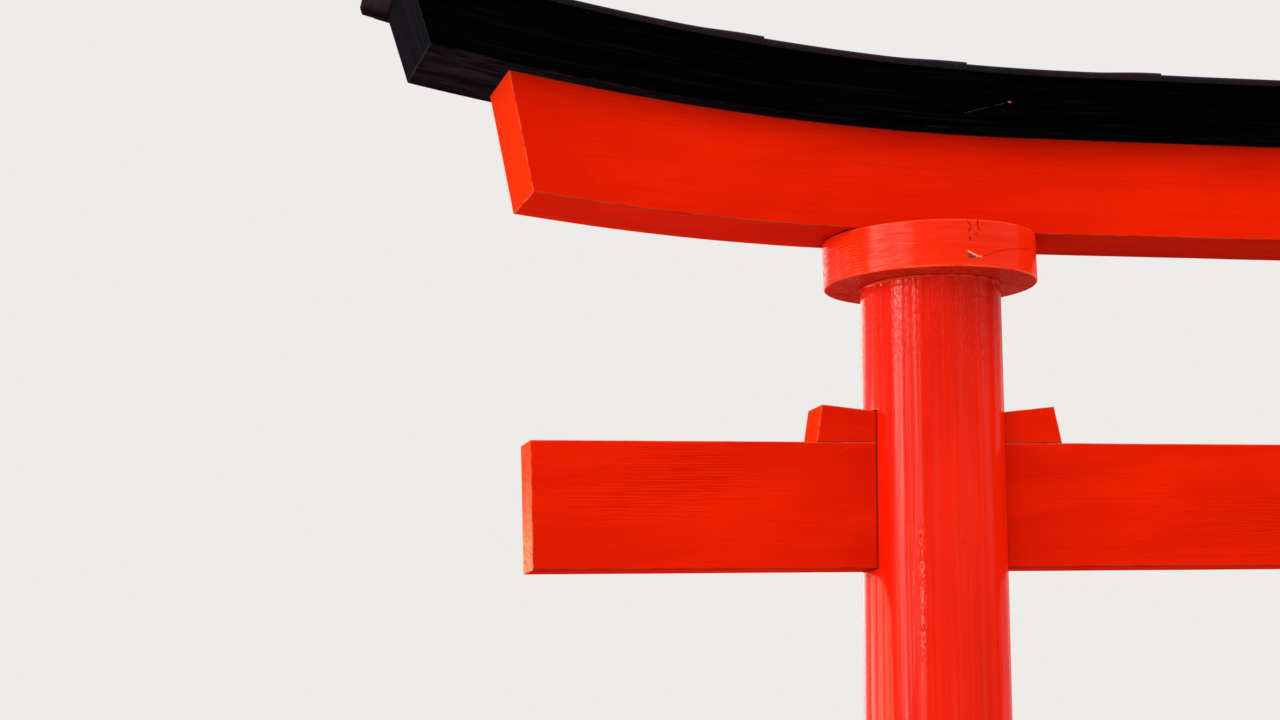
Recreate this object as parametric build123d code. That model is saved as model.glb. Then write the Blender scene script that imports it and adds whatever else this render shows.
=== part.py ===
from build123d import *
import math
import os

# Shrine gate of painted timber. Two round posts lean towards each other. A tie beam runs
# through both and is held by wedges. A ring sits on each post head and carries a lower
# lintel, and an upper lintel lies on that. Both lintels curve up towards their ends.
# A lapped sheet-metal cover lies on the upper lintel, and a short strut stands in the middle.
# Millimetres. +X runs along the beams to the right, +Y to the back, +Z up.
# The origin is the centre of the left post's flat foot.

# Posts
POST_SPAN = 2100.0  # between the post axes, at the underside of the tie beam
POST_FOOT_D = 228.0
POST_HEAD_D = 205.0
POST_LEAN = 0.029  # sideways run for each unit of height, heads towards the middle
TENON_D = 110.0  # round tenon on each post head
TENON_LENGTH = 55.0  # how far it enters the lower lintel
TENON_GAP = 0.5

# Foot bands
BAND_HEIGHT = 300.0
BAND_WALL = 4.0
BAND_GAP = 0.1  # between the band and the post

# Tie beam
TIE_UNDERSIDE = 1900.0
TIE_HEIGHT = 181.0
TIE_THICKNESS = 65.0
TIE_REACH = 600.0  # from each post axis to the beam's end
ARRIS = 2.5  # chamfer along the beam edges
SLOT_GAP = 0.5  # each side of the beam in the posts

# Wedges, driven over the tie beam from both faces of each post
WEDGE_SHOW = 84.5  # length that stands out past the widest part of the post
WEDGE_OUTER_HEIGHT = 54.0
WEDGE_SLOPE = 0.109  # fall of the top towards the post axis
WEDGE_END_SLANT = 10.0  # how far the foot of the outer end stands out past its top
WEDGE_TIP_GAP = 3.0  # between the tips of a pair, inside the post

# Rings on the post heads
RING_OVERHANG = 54.5  # how far the ring stands out past the post's head
RING_HEIGHT = 68.0
RING_ARRIS = 2.0

# Lower lintel: straight in the middle, then round arcs up to the ends
OPEN_HEIGHT = 303.0  # between the tie beam and the lower lintel
LOWER_DEPTH = 142.0  # front to back
LOWER_HEIGHT = 144.0  # in the middle
LOWER_END = 596.0  # from the post axis line to the end, along the underside
LOWER_END_SLANT = 0.18  # outward run of the end for each unit of height
UNDERSIDE_START = 19.0  # outside the post axis line, where the underside starts to rise
UNDERSIDE_RADIUS = 4136.0
SEAT_START = -150.0  # inside the post axis line, where the seat between the lintels starts to rise
SEAT_RADIUS = 4263.0

# Upper lintel
UPPER_OVERHANG = 30.5  # how far it stands out past the lower lintel, front and back
UPPER_HEIGHT = 94.0  # in the middle, at the front
UPPER_END = 743.0
UPPER_END_SLANT = 0.29
CREST_START = -219.0  # inside the post axis line, where the front top edge starts to rise
CREST_RADIUS = 4009.0
BACK_FALL = 0.115  # fall of the top from front to back, for each unit of depth

# Strut between the tie beam and the lower lintel
STRUT_WIDTH = 110.0
STRUT_DEPTH = 90.0
STRUT_TENON_WIDTH = 60.0
STRUT_TENON_DEPTH = 30.0
STRUT_TENON_LENGTH = 25.0
STRUT_TENON_GAP = 0.5

# Sheet-metal cover
SHEET = 1.2
HEM = 9.0  # height of the folded front and back edges
LAP = 22.0  # overlap of one sheet on the next
JOGGLE = 8.0  # raised part of a lap that lies over its own sheet
SHEET_PITCH = 306.5  # from one lap edge to the next
FIRST_LAP = 569.0  # outermost lap edge, from the post axis line
EAVE = 36.0  # how far the end piece stands out past the lintel's slanted end
FIRST_SHEET_OUT = 19.0  # how far the outermost sheet stands out past it
END_PIECE_INNER = 120.0  # how far the end piece is tucked in under the outermost sheet

# Places worked out from the sizes above
AXIS_X = POST_SPAN / 2
FOOT_X = AXIS_X + POST_LEAN * TIE_UNDERSIDE
TIE_TOP = TIE_UNDERSIDE + TIE_HEIGHT
LINTEL_UNDERSIDE = TIE_TOP + OPEN_HEIGHT
RING_UNDERSIDE = LINTEL_UNDERSIDE - RING_HEIGHT
SEAT_Z = LINTEL_UNDERSIDE + LOWER_HEIGHT
CREST_Z = SEAT_Z + UPPER_HEIGHT
UPPER_DEPTH = LOWER_DEPTH + 2 * UPPER_OVERHANG
RING_D = POST_HEAD_D + 2 * RING_OVERHANG
POST_TAPER = (POST_FOOT_D - POST_HEAD_D) / RING_UNDERSIDE
WEDGE_REACH = (POST_FOOT_D - POST_TAPER * TIE_TOP) / 2 + WEDGE_SHOW

# Room for cutting: past the slanted ends, under the crest and above the raised ends
PAST_ENDS = AXIS_X + UPPER_END + UPPER_DEPTH
DEEP = 2 * UPPER_DEPTH
END_RISE = CREST_RADIUS - math.sqrt(CREST_RADIUS**2 - (PAST_ENDS - AXIS_X - CREST_START) ** 2)

# Lap edges of the left half, from the end towards the middle, where one last sheet closes the gap
SHEETS_EACH_SIDE = 1 + int((AXIS_X + FIRST_LAP - LAP - JOGGLE) / SHEET_PITCH)
LAP_EDGES = [-AXIS_X - FIRST_LAP + SHEET_PITCH * i for i in range(SHEETS_EACH_SIDE)]
CLOSING_REACH = LAP - LAP_EDGES[-1]


def post_x(z):
    """Distance of each leaning post axis from the middle of the gate at height z."""
    return FOOT_X - POST_LEAN * z


def arc_rise(run, radius):
    """Height gained by a round arc that starts level, after a horizontal run."""
    return radius - math.sqrt(radius**2 - run**2)


def edge_line(z, start, radius, reach, lift=0.0):
    """Long edge of a lintel in the front view, left to right: arc, straight, arc."""
    flat = AXIS_X + start
    run = reach - flat
    end_z = z + arc_rise(run, radius)
    half_z = z + arc_rise(run / 2, radius)
    left = ThreePointArc((-reach, end_z + lift), (-flat - run / 2, half_z + lift), (-flat, z + lift))
    middle = Line((-flat, z + lift), (flat, z + lift))
    right = ThreePointArc((flat, z + lift), (flat + run / 2, half_z + lift), (reach, end_z + lift))
    return [left, middle, right]


def end_reach(z, start, radius, low_reach, low_z, slant):
    """Where a slanted end line, rising from a lower corner, meets an edge line's arc."""
    flat = AXIS_X + start
    level_run = low_reach + slant * (z - low_z) - flat
    half = radius - slant * level_run
    stretch_2 = 1 + slant**2
    rise = (half - math.sqrt(half**2 - stretch_2 * level_run**2)) / stretch_2
    return flat + level_run + slant * rise


def front_profile(lower, upper):
    """Closed face in the front view between a lower and an upper edge line."""
    left_end = Line(lower[0] @ 0, upper[0] @ 0)
    right_end = Line(lower[2] @ 1, upper[2] @ 1)
    return make_face(lower + upper + [left_end, right_end])


def across(face, depth):
    """Front-view face made solid, centred on the gate's middle plane."""
    return extrude(Plane.XZ * face, depth / 2, both=True)


def mirrored(shape):
    """The same piece on the other half of the gate."""
    return mirror(shape, Plane.YZ)


def save(name, shape):
    """Writes one piece, moved so that the left post's foot is the origin."""
    export_step(Pos(FOOT_X, 0, 0) * shape, f"parts/{name}.step")


def wedge_height(run):
    """Height of a wedge's top over the tie beam, at a distance from the post axis."""
    return WEDGE_OUTER_HEIGHT - WEDGE_SLOPE * (WEDGE_REACH - WEDGE_END_SLANT - run)


def wedge_shape(side, near, far, far_top, depth):
    """Tapered block on the tie beam: side is -1 outside the left post, 1 inside it."""
    axis = -post_x(TIE_TOP)
    points = [
        (axis + side * near, TIE_TOP),
        (axis + side * far, TIE_TOP),
        (axis + side * far_top, TIE_TOP + wedge_height(far_top)),
        (axis + side * near, TIE_TOP + wedge_height(near)),
    ]
    return across(make_face(Polyline(*points, close=True)), depth)


def wedge(side):
    """One wedge, its foot standing out past its top at the outer end."""
    far_top = WEDGE_REACH - WEDGE_END_SLANT
    return wedge_shape(side, WEDGE_TIP_GAP / 2, WEDGE_REACH, far_top, TIE_THICKNESS)


def wedge_slot(side):
    """Room for a wedge in the post, from the axis out past the face of the post."""
    return wedge_shape(side, 0.0, WEDGE_REACH, WEDGE_REACH, TIE_THICKNESS + 2 * SLOT_GAP)


def leaning_timber():
    """Round timber with the left post's taper and lean, longer than the post at both ends."""
    spare = POST_FOOT_D / 4
    length = RING_UNDERSIDE + 2 * spare
    foot_r = (POST_FOOT_D + POST_TAPER * spare) / 2
    head_r = (POST_HEAD_D - POST_TAPER * spare) / 2
    upright = Pos(0, 0, -spare) * Cone(foot_r, head_r, length, align=(Align.CENTER, Align.CENTER, Align.MIN))
    return Pos(-FOOT_X, 0, 0) * Rot(0, math.degrees(math.atan(POST_LEAN)), 0) * upright


def post_height():
    """Everything round the left post between its level foot and the ring."""
    width = 2 * (POST_FOOT_D + POST_LEAN * RING_UNDERSIDE)
    slab = Box(width, width, RING_UNDERSIDE, align=(Align.CENTER, Align.CENTER, Align.MIN))
    return Pos(-FOOT_X, 0, 0) * slab


def head_tenon(radius, z_low, z_high):
    """Upright round tenon on the axis of the left post's head."""
    tenon = Cylinder(radius, z_high - z_low, align=(Align.CENTER, Align.CENTER, Align.MIN))
    return Pos(-post_x(RING_UNDERSIDE), 0, z_low) * tenon


def post():
    """Left post: level foot, slot for the tie beam and its wedges, round tenon on the head."""
    body = leaning_timber() & post_height()
    body += head_tenon(TENON_D / 2, RING_UNDERSIDE, LINTEL_UNDERSIDE + TENON_LENGTH)
    tie_room = Pos(-post_x(TIE_UNDERSIDE), 0, TIE_UNDERSIDE) * Box(
        2 * POST_FOOT_D,
        TIE_THICKNESS + 2 * SLOT_GAP,
        TIE_HEIGHT,
        align=(Align.CENTER, Align.CENTER, Align.MIN),
    )
    return body - tie_room - wedge_slot(-1) - wedge_slot(1)


def round_the_post(z_low, z_high, out):
    """Round space about the left post between two heights, standing out from it all round."""
    outlines = []
    for z in (z_low, z_high):
        radius = (POST_FOOT_D - POST_TAPER * z) / 2 + out
        outlines.append(Pos(-post_x(z), 0, z) * Circle(radius))
    return loft(outlines, ruled=True)


def foot_band():
    """Sleeve round the foot of the left post, leaning and tapering as the post does."""
    outside = round_the_post(0, BAND_HEIGHT, BAND_GAP + BAND_WALL)
    return outside - round_the_post(0, BAND_HEIGHT, BAND_GAP)


def tie_beam():
    """Board through both posts, with a mortise for the strut's foot."""
    length = 2 * (AXIS_X + TIE_REACH)
    beam = Box(length, TIE_THICKNESS, TIE_HEIGHT, align=(Align.CENTER, Align.CENTER, Align.MIN))
    beam = chamfer(beam.edges(), ARRIS)
    return Pos(0, 0, TIE_UNDERSIDE) * beam - strut_tenon(TIE_TOP - STRUT_TENON_LENGTH, STRUT_TENON_GAP)


def ring():
    """Ring on the left post's head, bored for the tenon."""
    body = Cylinder(RING_D / 2, RING_HEIGHT, align=(Align.CENTER, Align.CENTER, Align.MIN))
    body = chamfer(body.edges(), RING_ARRIS)
    body = Pos(-post_x(RING_UNDERSIDE), 0, RING_UNDERSIDE) * body
    return body - head_tenon(TENON_D / 2 + TENON_GAP, RING_UNDERSIDE, LINTEL_UNDERSIDE)


def strut_tenon(z_low, gap=0.0):
    """Stub tenon of the strut, or its mortise with a gap all round."""
    height = STRUT_TENON_LENGTH
    block = Box(
        STRUT_TENON_WIDTH + 2 * gap,
        STRUT_TENON_DEPTH + 2 * gap,
        height,
        align=(Align.CENTER, Align.CENTER, Align.MIN),
    )
    return Pos(0, 0, z_low) * block


def strut():
    """Strut in the middle, with a stub tenon at each end."""
    body = Box(STRUT_WIDTH, STRUT_DEPTH, OPEN_HEIGHT, align=(Align.CENTER, Align.CENTER, Align.MIN))
    body = chamfer(body.edges().filter_by(Axis.Z), ARRIS)
    body = Pos(0, 0, TIE_TOP) * body
    return body + strut_tenon(TIE_TOP - STRUT_TENON_LENGTH) + strut_tenon(LINTEL_UNDERSIDE)


def rim(body):
    """Edges round the front face and the back face of a lintel."""
    across_faces = body.faces().sort_by(Axis.Y)
    return across_faces[0].edges() + across_faces[-1].edges()


def lower_lintel():
    """Lower lintel: underside and seat are arcs of their own, so it deepens towards its ends."""
    low_reach = AXIS_X + LOWER_END
    low_z = LINTEL_UNDERSIDE + arc_rise(low_reach - AXIS_X - UNDERSIDE_START, UNDERSIDE_RADIUS)
    top_reach = end_reach(SEAT_Z, SEAT_START, SEAT_RADIUS, low_reach, low_z, LOWER_END_SLANT)
    underside = edge_line(LINTEL_UNDERSIDE, UNDERSIDE_START, UNDERSIDE_RADIUS, low_reach)
    seat = edge_line(SEAT_Z, SEAT_START, SEAT_RADIUS, top_reach)
    body = across(front_profile(underside, seat), LOWER_DEPTH)
    body = chamfer(rim(body), ARRIS)
    socket = head_tenon(TENON_D / 2 + TENON_GAP, LINTEL_UNDERSIDE, LINTEL_UNDERSIDE + TENON_LENGTH)
    return body - socket - mirrored(socket) - strut_tenon(LINTEL_UNDERSIDE, STRUT_TENON_GAP)


def under_crest(grow, depth):
    """Space under the falling top of the upper lintel, grown outwards, down to a depth below it."""
    crest = edge_line(CREST_Z, CREST_START, CREST_RADIUS, PAST_ENDS, grow + BACK_FALL * grow)
    floor = edge_line(CREST_Z, CREST_START, CREST_RADIUS, PAST_ENDS, BACK_FALL * grow - depth)
    face = Plane.XZ * front_profile(floor, crest)
    front_to_back = UPPER_DEPTH + 2 * grow
    slant_length = front_to_back * math.hypot(1.0, BACK_FALL)
    return extrude(Pos(0, -front_to_back / 2, 0) * face, slant_length, dir=(0, 1, -BACK_FALL))


def within_ends(out):
    """Region between the upper lintel's slanted ends, both moved outwards."""
    low_reach = AXIS_X + UPPER_END + out
    low_z = SEAT_Z + arc_rise(UPPER_END - SEAT_START, SEAT_RADIUS)
    below = SEAT_Z - UPPER_DEPTH
    above = CREST_Z + END_RISE
    below_x = low_reach + UPPER_END_SLANT * (below - low_z)
    above_x = low_reach + UPPER_END_SLANT * (above - low_z)
    points = [(-below_x, below), (below_x, below), (above_x, above), (-above_x, above)]
    return across(make_face(Polyline(*points, close=True)), 2 * UPPER_DEPTH)


def upper_lintel():
    """Upper lintel: seated on the lower one, its top falling to the back."""
    seat = edge_line(SEAT_Z, SEAT_START, SEAT_RADIUS, PAST_ENDS)
    roof = edge_line(CREST_Z, CREST_START, CREST_RADIUS, PAST_ENDS)
    body = across(front_profile(seat, roof), UPPER_DEPTH)
    body = body & under_crest(0.0, DEEP) & within_ends(0.0)
    return chamfer(rim(body), ARRIS)


def stretch(x_low, x_high):
    """Everything between two places along the gate, at the height of the cover."""
    block = Box(x_high - x_low, DEEP, 2 * (DEEP + END_RISE), align=(Align.MIN, Align.CENTER, Align.CENTER))
    return Pos(x_low, 0, CREST_Z) * block


def cover_sheet(x_low, x_high, overlaps):
    """Folded sheet, raised by its own thickness where it lies over the stretches of others."""
    outside = under_crest(SHEET, HEM) & stretch(x_low, x_high)
    inside = under_crest(0.0, DEEP)
    for low, high in overlaps:
        raised_low = max(low - JOGGLE, x_low)
        raised_high = min(high + JOGGLE, x_high)
        outside += under_crest(2 * SHEET, HEM) & stretch(raised_low, raised_high)
        inside += under_crest(SHEET, DEEP) & stretch(low, high)
    return outside - inside


def cover_left():
    """Cover pieces of the left half: the end piece, then the sheets from the end to the middle."""
    end_inner = -AXIS_X - UPPER_END + END_PIECE_INNER
    pieces = {"cover_end_left": cover_sheet(-PAST_ENDS, end_inner, []) & within_ends(EAVE)}
    first_overlaps = [(-PAST_ENDS, end_inner), (LAP_EDGES[0] - LAP, LAP_EDGES[0])]
    first = cover_sheet(-PAST_ENDS, LAP_EDGES[0], first_overlaps)
    pieces["cover_sheet_left_1"] = first & within_ends(FIRST_SHEET_OUT)
    for i in range(1, SHEETS_EACH_SIDE):
        low = LAP_EDGES[i - 1] - LAP
        high = LAP_EDGES[i]
        pieces[f"cover_sheet_left_{i + 1}"] = cover_sheet(low, high, [(high - LAP, high)])
    return pieces


os.makedirs("parts", exist_ok=True)

left_pieces = {
    "post_left": post(),
    "foot_band_left": foot_band(),
    "post_ring_left": ring(),
    "wedge_left_outer": wedge(-1),
    "wedge_left_inner": wedge(1),
}
left_pieces.update(cover_left())
for name, shape in left_pieces.items():
    save(name, shape)
    save(name.replace("left", "right"), mirrored(shape))

save("tie_beam", tie_beam())
save("strut", strut())
save("lower_lintel", lower_lintel())
save("upper_lintel", upper_lintel())
save("cover_sheet_middle", cover_sheet(-CLOSING_REACH, CLOSING_REACH, []))
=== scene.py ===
"""Looks of a painted timber shrine gate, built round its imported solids.

Lengths are metres: +X along the beams, +Y to the back, +Z up, and the origin is the foot of the
left post. Each finish is a frozen dataclass that builds its material, and each sub-assembly is a
class that builds its meshes and dresses them.
"""

import logging
import math
from dataclasses import dataclass
from enum import Enum
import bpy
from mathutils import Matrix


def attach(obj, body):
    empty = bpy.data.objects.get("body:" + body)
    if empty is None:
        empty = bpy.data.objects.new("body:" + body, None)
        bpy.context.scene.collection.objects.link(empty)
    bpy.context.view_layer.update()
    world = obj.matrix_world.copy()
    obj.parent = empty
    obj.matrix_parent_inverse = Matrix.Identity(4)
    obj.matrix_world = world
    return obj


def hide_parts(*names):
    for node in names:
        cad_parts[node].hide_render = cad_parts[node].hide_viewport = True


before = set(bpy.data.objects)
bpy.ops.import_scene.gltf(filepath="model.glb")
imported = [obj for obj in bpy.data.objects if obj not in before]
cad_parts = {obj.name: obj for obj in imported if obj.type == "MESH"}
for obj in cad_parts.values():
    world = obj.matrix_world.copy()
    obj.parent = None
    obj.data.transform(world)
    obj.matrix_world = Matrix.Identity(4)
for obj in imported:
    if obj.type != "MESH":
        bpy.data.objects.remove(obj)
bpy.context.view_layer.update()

from types import SimpleNamespace
from typing import Callable

import bmesh
import bpy
import numpy as np
from mathutils import Matrix, Vector

LOG = logging.getLogger("gate")

Colour = tuple[float, float, float, float]
Triple = tuple[float, float, float]
Array = np.ndarray
Numbers = Array | float
Marks = dict[str, Numbers]
Place = Callable[[Array], Array]
Dress = Callable[[Array, Array], Marks]
Relief = Callable[[Array, Array], Array]


# Nodes


def paint(red: float, green: float, blue: float) -> Colour:
    """Opaque colour from three linear parts."""
    return (red, green, blue, 1.0)


@dataclass(frozen=True)
class Noise:
    """A noise pattern: waves per metre each way, octaves, how far it is pulled about, and its shift."""

    scale: Triple
    detail: float = 2.0
    twist: float = 0.0
    shift: float = 0.0


class Flow:
    """A value on its way through a material's nodes, open to plain arithmetic."""

    def __init__(self, sheet: "NodeSheet", socket: bpy.types.NodeSocket) -> None:
        """Wraps an output socket of a sheet."""
        self.sheet = sheet
        self.socket = socket

    def _maths(self, operation: str, first: "Flow | float", second: "Flow | float") -> "Flow":
        """Adds one Math node."""
        return self.sheet.node("ShaderNodeMath", {"operation": operation}, {0: first, 1: second})

    def __add__(self, other: "Flow | float") -> "Flow":
        """Sum."""
        return self._maths("ADD", self, other)

    __radd__ = __add__

    def __sub__(self, other: "Flow | float") -> "Flow":
        """Difference."""
        return self._maths("SUBTRACT", self, other)

    def __rsub__(self, other: float) -> "Flow":
        """Difference, from a number."""
        return self._maths("SUBTRACT", other, self)

    def __mul__(self, other: "Flow | float") -> "Flow":
        """Product."""
        return self._maths("MULTIPLY", self, other)

    __rmul__ = __mul__

    def most(self, other: "Flow | float") -> "Flow":
        """The larger of two values."""
        return self._maths("MAXIMUM", self, other)

    def rise(self, low: float, high: float, share: float = 1.0) -> "Flow":
        """Smooth rise with this value.

        Args:
            low: The value that gives 0.
            high: The value that gives the share; it may be the smaller one.
            share: How far it rises.

        Returns:
            The risen value, held between 0 and the share.
        """
        settings = {"interpolation_type": "SMOOTHSTEP", "clamp": True}
        ends = {0: self, 1: low, 2: high} if low < high else {0: self, 1: high, 2: low, 3: 1.0, 4: 0.0}
        risen = self.sheet.node("ShaderNodeMapRange", settings, ends)
        return risen if share == 1.0 else risen * share


Tone = Flow | Colour
Amount = Flow | float


class NodeSheet:
    """The nodes of one material or of the world, all added through one method."""

    def __init__(self, name: str, tree: bpy.types.NodeTree | None = None) -> None:
        """Starts an empty material, or works on a tree that is there.

        Args:
            name: The material's name.
            tree: The tree to work on, where there is one.
        """
        if tree is None:
            self.material = bpy.data.materials.new(name)
            self.material.use_nodes = True
            tree = self.material.node_tree
            tree.nodes.clear()
        self.tree = tree

    def node(self, kind: str, settings: dict | None = None, inputs: dict | None = None,
             output: int | str = 0) -> Flow:
        """Adds a node.

        Args:
            kind: The node's type.
            settings: Its own settings, set first.
            inputs: Values or flows for its sockets, by name or place.
            output: The output socket that is handed back.

        Returns:
            The flow from that output, or from the first input of a node without outputs.
        """
        made = self.tree.nodes.new(kind)
        for key, value in (settings or {}).items():
            setattr(made, key, value)
        for key, value in (inputs or {}).items():
            if isinstance(value, Flow):
                self.tree.links.new(value.socket, made.inputs[key])
            else:
                made.inputs[key].default_value = value
        return Flow(self, made.outputs[output] if made.outputs else made.inputs[0])

    def mark(self, name: str) -> Flow:
        """A number that the mesh carries."""
        return self.node("ShaderNodeAttribute", {"attribute_name": name}, output="Fac")

    def grain(self) -> Flow:
        """Place in the timber, in metres: along the fibres first, then the two ways across."""
        return self.node("ShaderNodeAttribute", {"attribute_name": "grain"}, output="Vector")

    def noise(self, where: Flow, pattern: Noise) -> Flow:
        """Soft noise with a scale of its own each way.

        Args:
            where: The place it is read at.
            pattern: Its scale, octaves, twist and shift.

        Returns:
            A value round one half.
        """
        moves = {"Vector": where, "Scale": pattern.scale, "Location": (pattern.shift,) * 3}
        moved = self.node("ShaderNodeMapping", {}, moves)
        inputs = {"Vector": moved, "Scale": 1.0, "Detail": pattern.detail, "Distortion": pattern.twist}
        return self.node("ShaderNodeTexNoise", {"noise_dimensions": "3D"}, inputs)

    def flows(self, where: Flow, patterns: dict[str, Noise],
              marks: tuple[str, ...] = ()) -> SimpleNamespace:
        """Named noise patterns, all read at one place, and named marks, each under its name."""
        made = {name: self.noise(where, pattern) for name, pattern in patterns.items()}
        return SimpleNamespace(**made, **{name: self.mark(name) for name in marks})

    def cells(self, where: Flow, scale: float) -> Flow:
        """Distance from the middle of the nearest cell, in cells, of which a metre has so many."""
        return self.node("ShaderNodeTexVoronoi", {}, {"Vector": where, "Scale": scale})

    def mix(self, first: Tone, second: Tone, share: Amount) -> Flow:
        """Blend of two colours."""
        return self.node("ShaderNodeMix", {"data_type": "RGBA"}, {0: share, 6: first, 7: second}, output=2)

    def layered(self, ground: Tone, layers: list[tuple[Tone, Amount]]) -> Tone:
        """Tones laid over a ground one after the other.

        Args:
            ground: The first tone.
            layers: Each further tone with how far it covers those before it.

        Returns:
            The tone that is seen.
        """
        for tone, share in layers:
            ground = self.mix(ground, tone, share)
        return ground

    def heaped(self, reliefs: list[tuple[Flow, Amount]], ground: Flow | None = None) -> Flow:
        """Heights added up: each pattern less one half, times its own whole height.

        Args:
            reliefs: Patterns round one half, each with its whole height in metres.
            ground: A height that they are added to, where there is one.

        Returns:
            The height in metres.
        """
        for pattern, depth in reliefs:
            part = (pattern - 0.5) * depth
            ground = part if ground is None else ground + part
        return ground

    def surface(self, height: Flow | None, inputs: dict[str, Tone | Amount]) -> bpy.types.Material:
        """Puts one Principled shader on the output.

        Args:
            height: Height of the surface in metres, which bends its normal.
            inputs: Values or flows for the shader's sockets, by name.

        Returns:
            The finished material.
        """
        if height is not None:
            bump = {"Strength": 1.0, "Distance": 1.0, "Height": height}
            inputs = inputs | {"Normal": self.node("ShaderNodeBump", {}, bump)}
        shader = self.node("ShaderNodeBsdfPrincipled", {}, inputs)
        self.node("ShaderNodeOutputMaterial", {}, {"Surface": shader})
        return self.material


# Finishes: fields that end in _high are whole heights of the relief in metres, and in the tables
# of tones rise(low, high, share) says where a pattern brings its tone in, and how far.

GLOSS_MARKS = ("end", "under", "arris", "bare", "pale", "ridged", "splinter", "grime", "pits")
GLOSS_ALONG = {
    "wide": Noise((2.2, 9.0, 9.0), 3.0, 0.4, 3.1),
    "strokes": Noise((2.0, 260.0, 260.0), 3.0, 0.0, 8.7),
    "planed": Noise((1.1, 75.0, 75.0), 2.0, 0.2, 4.9),
    "ridges": Noise((9.0, 210.0, 210.0), 2.5, 0.9, 1.3),
    "threads": Noise((16.0, 560.0, 560.0), 2.0, 1.2, 6.1),
    "raised": Noise((3.1, 11.0, 11.0), 2.0, 0.5, 5.9),
    "sag": Noise((7.0, 26.0, 26.0), 2.0, 0.0, 6.6),
    "streaks": Noise((1.3, 190.0, 190.0), 3.0, 0.3, 12.5),
    "lumps": Noise((190.0, 370.0, 370.0), 2.5, 0.6, 9.9),
    "fibres": Noise((25.0, 700.0, 700.0), 2.0, 0.3, 5.1),
    "stains": Noise((5.0, 30.0, 30.0), 4.0, 0.8, 3.7),
    "touched": Noise((40.0, 90.0, 90.0), 3.0, 0.3, 1.9),
    "rubbed": Noise((30.0, 60.0, 60.0), 3.0, 0.0, 2.9),
}
GLOSS_AROUND = {
    "fine": Noise((520.0, 520.0, 520.0), 2.0, 0.0, 2.2),
    "swirls": Noise((60.0, 190.0, 190.0), 3.0, 1.4, 1.3),
    "rare": Noise((13.0, 13.0, 13.0), 1.0, 0.0, 4.4),
}
SAW_MARKS = Noise((20.0, 520.0, 40.0), 2.0, 0.2, 7.7)
SAW_TURN = (0.35, 0.0, 0.0)


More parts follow.
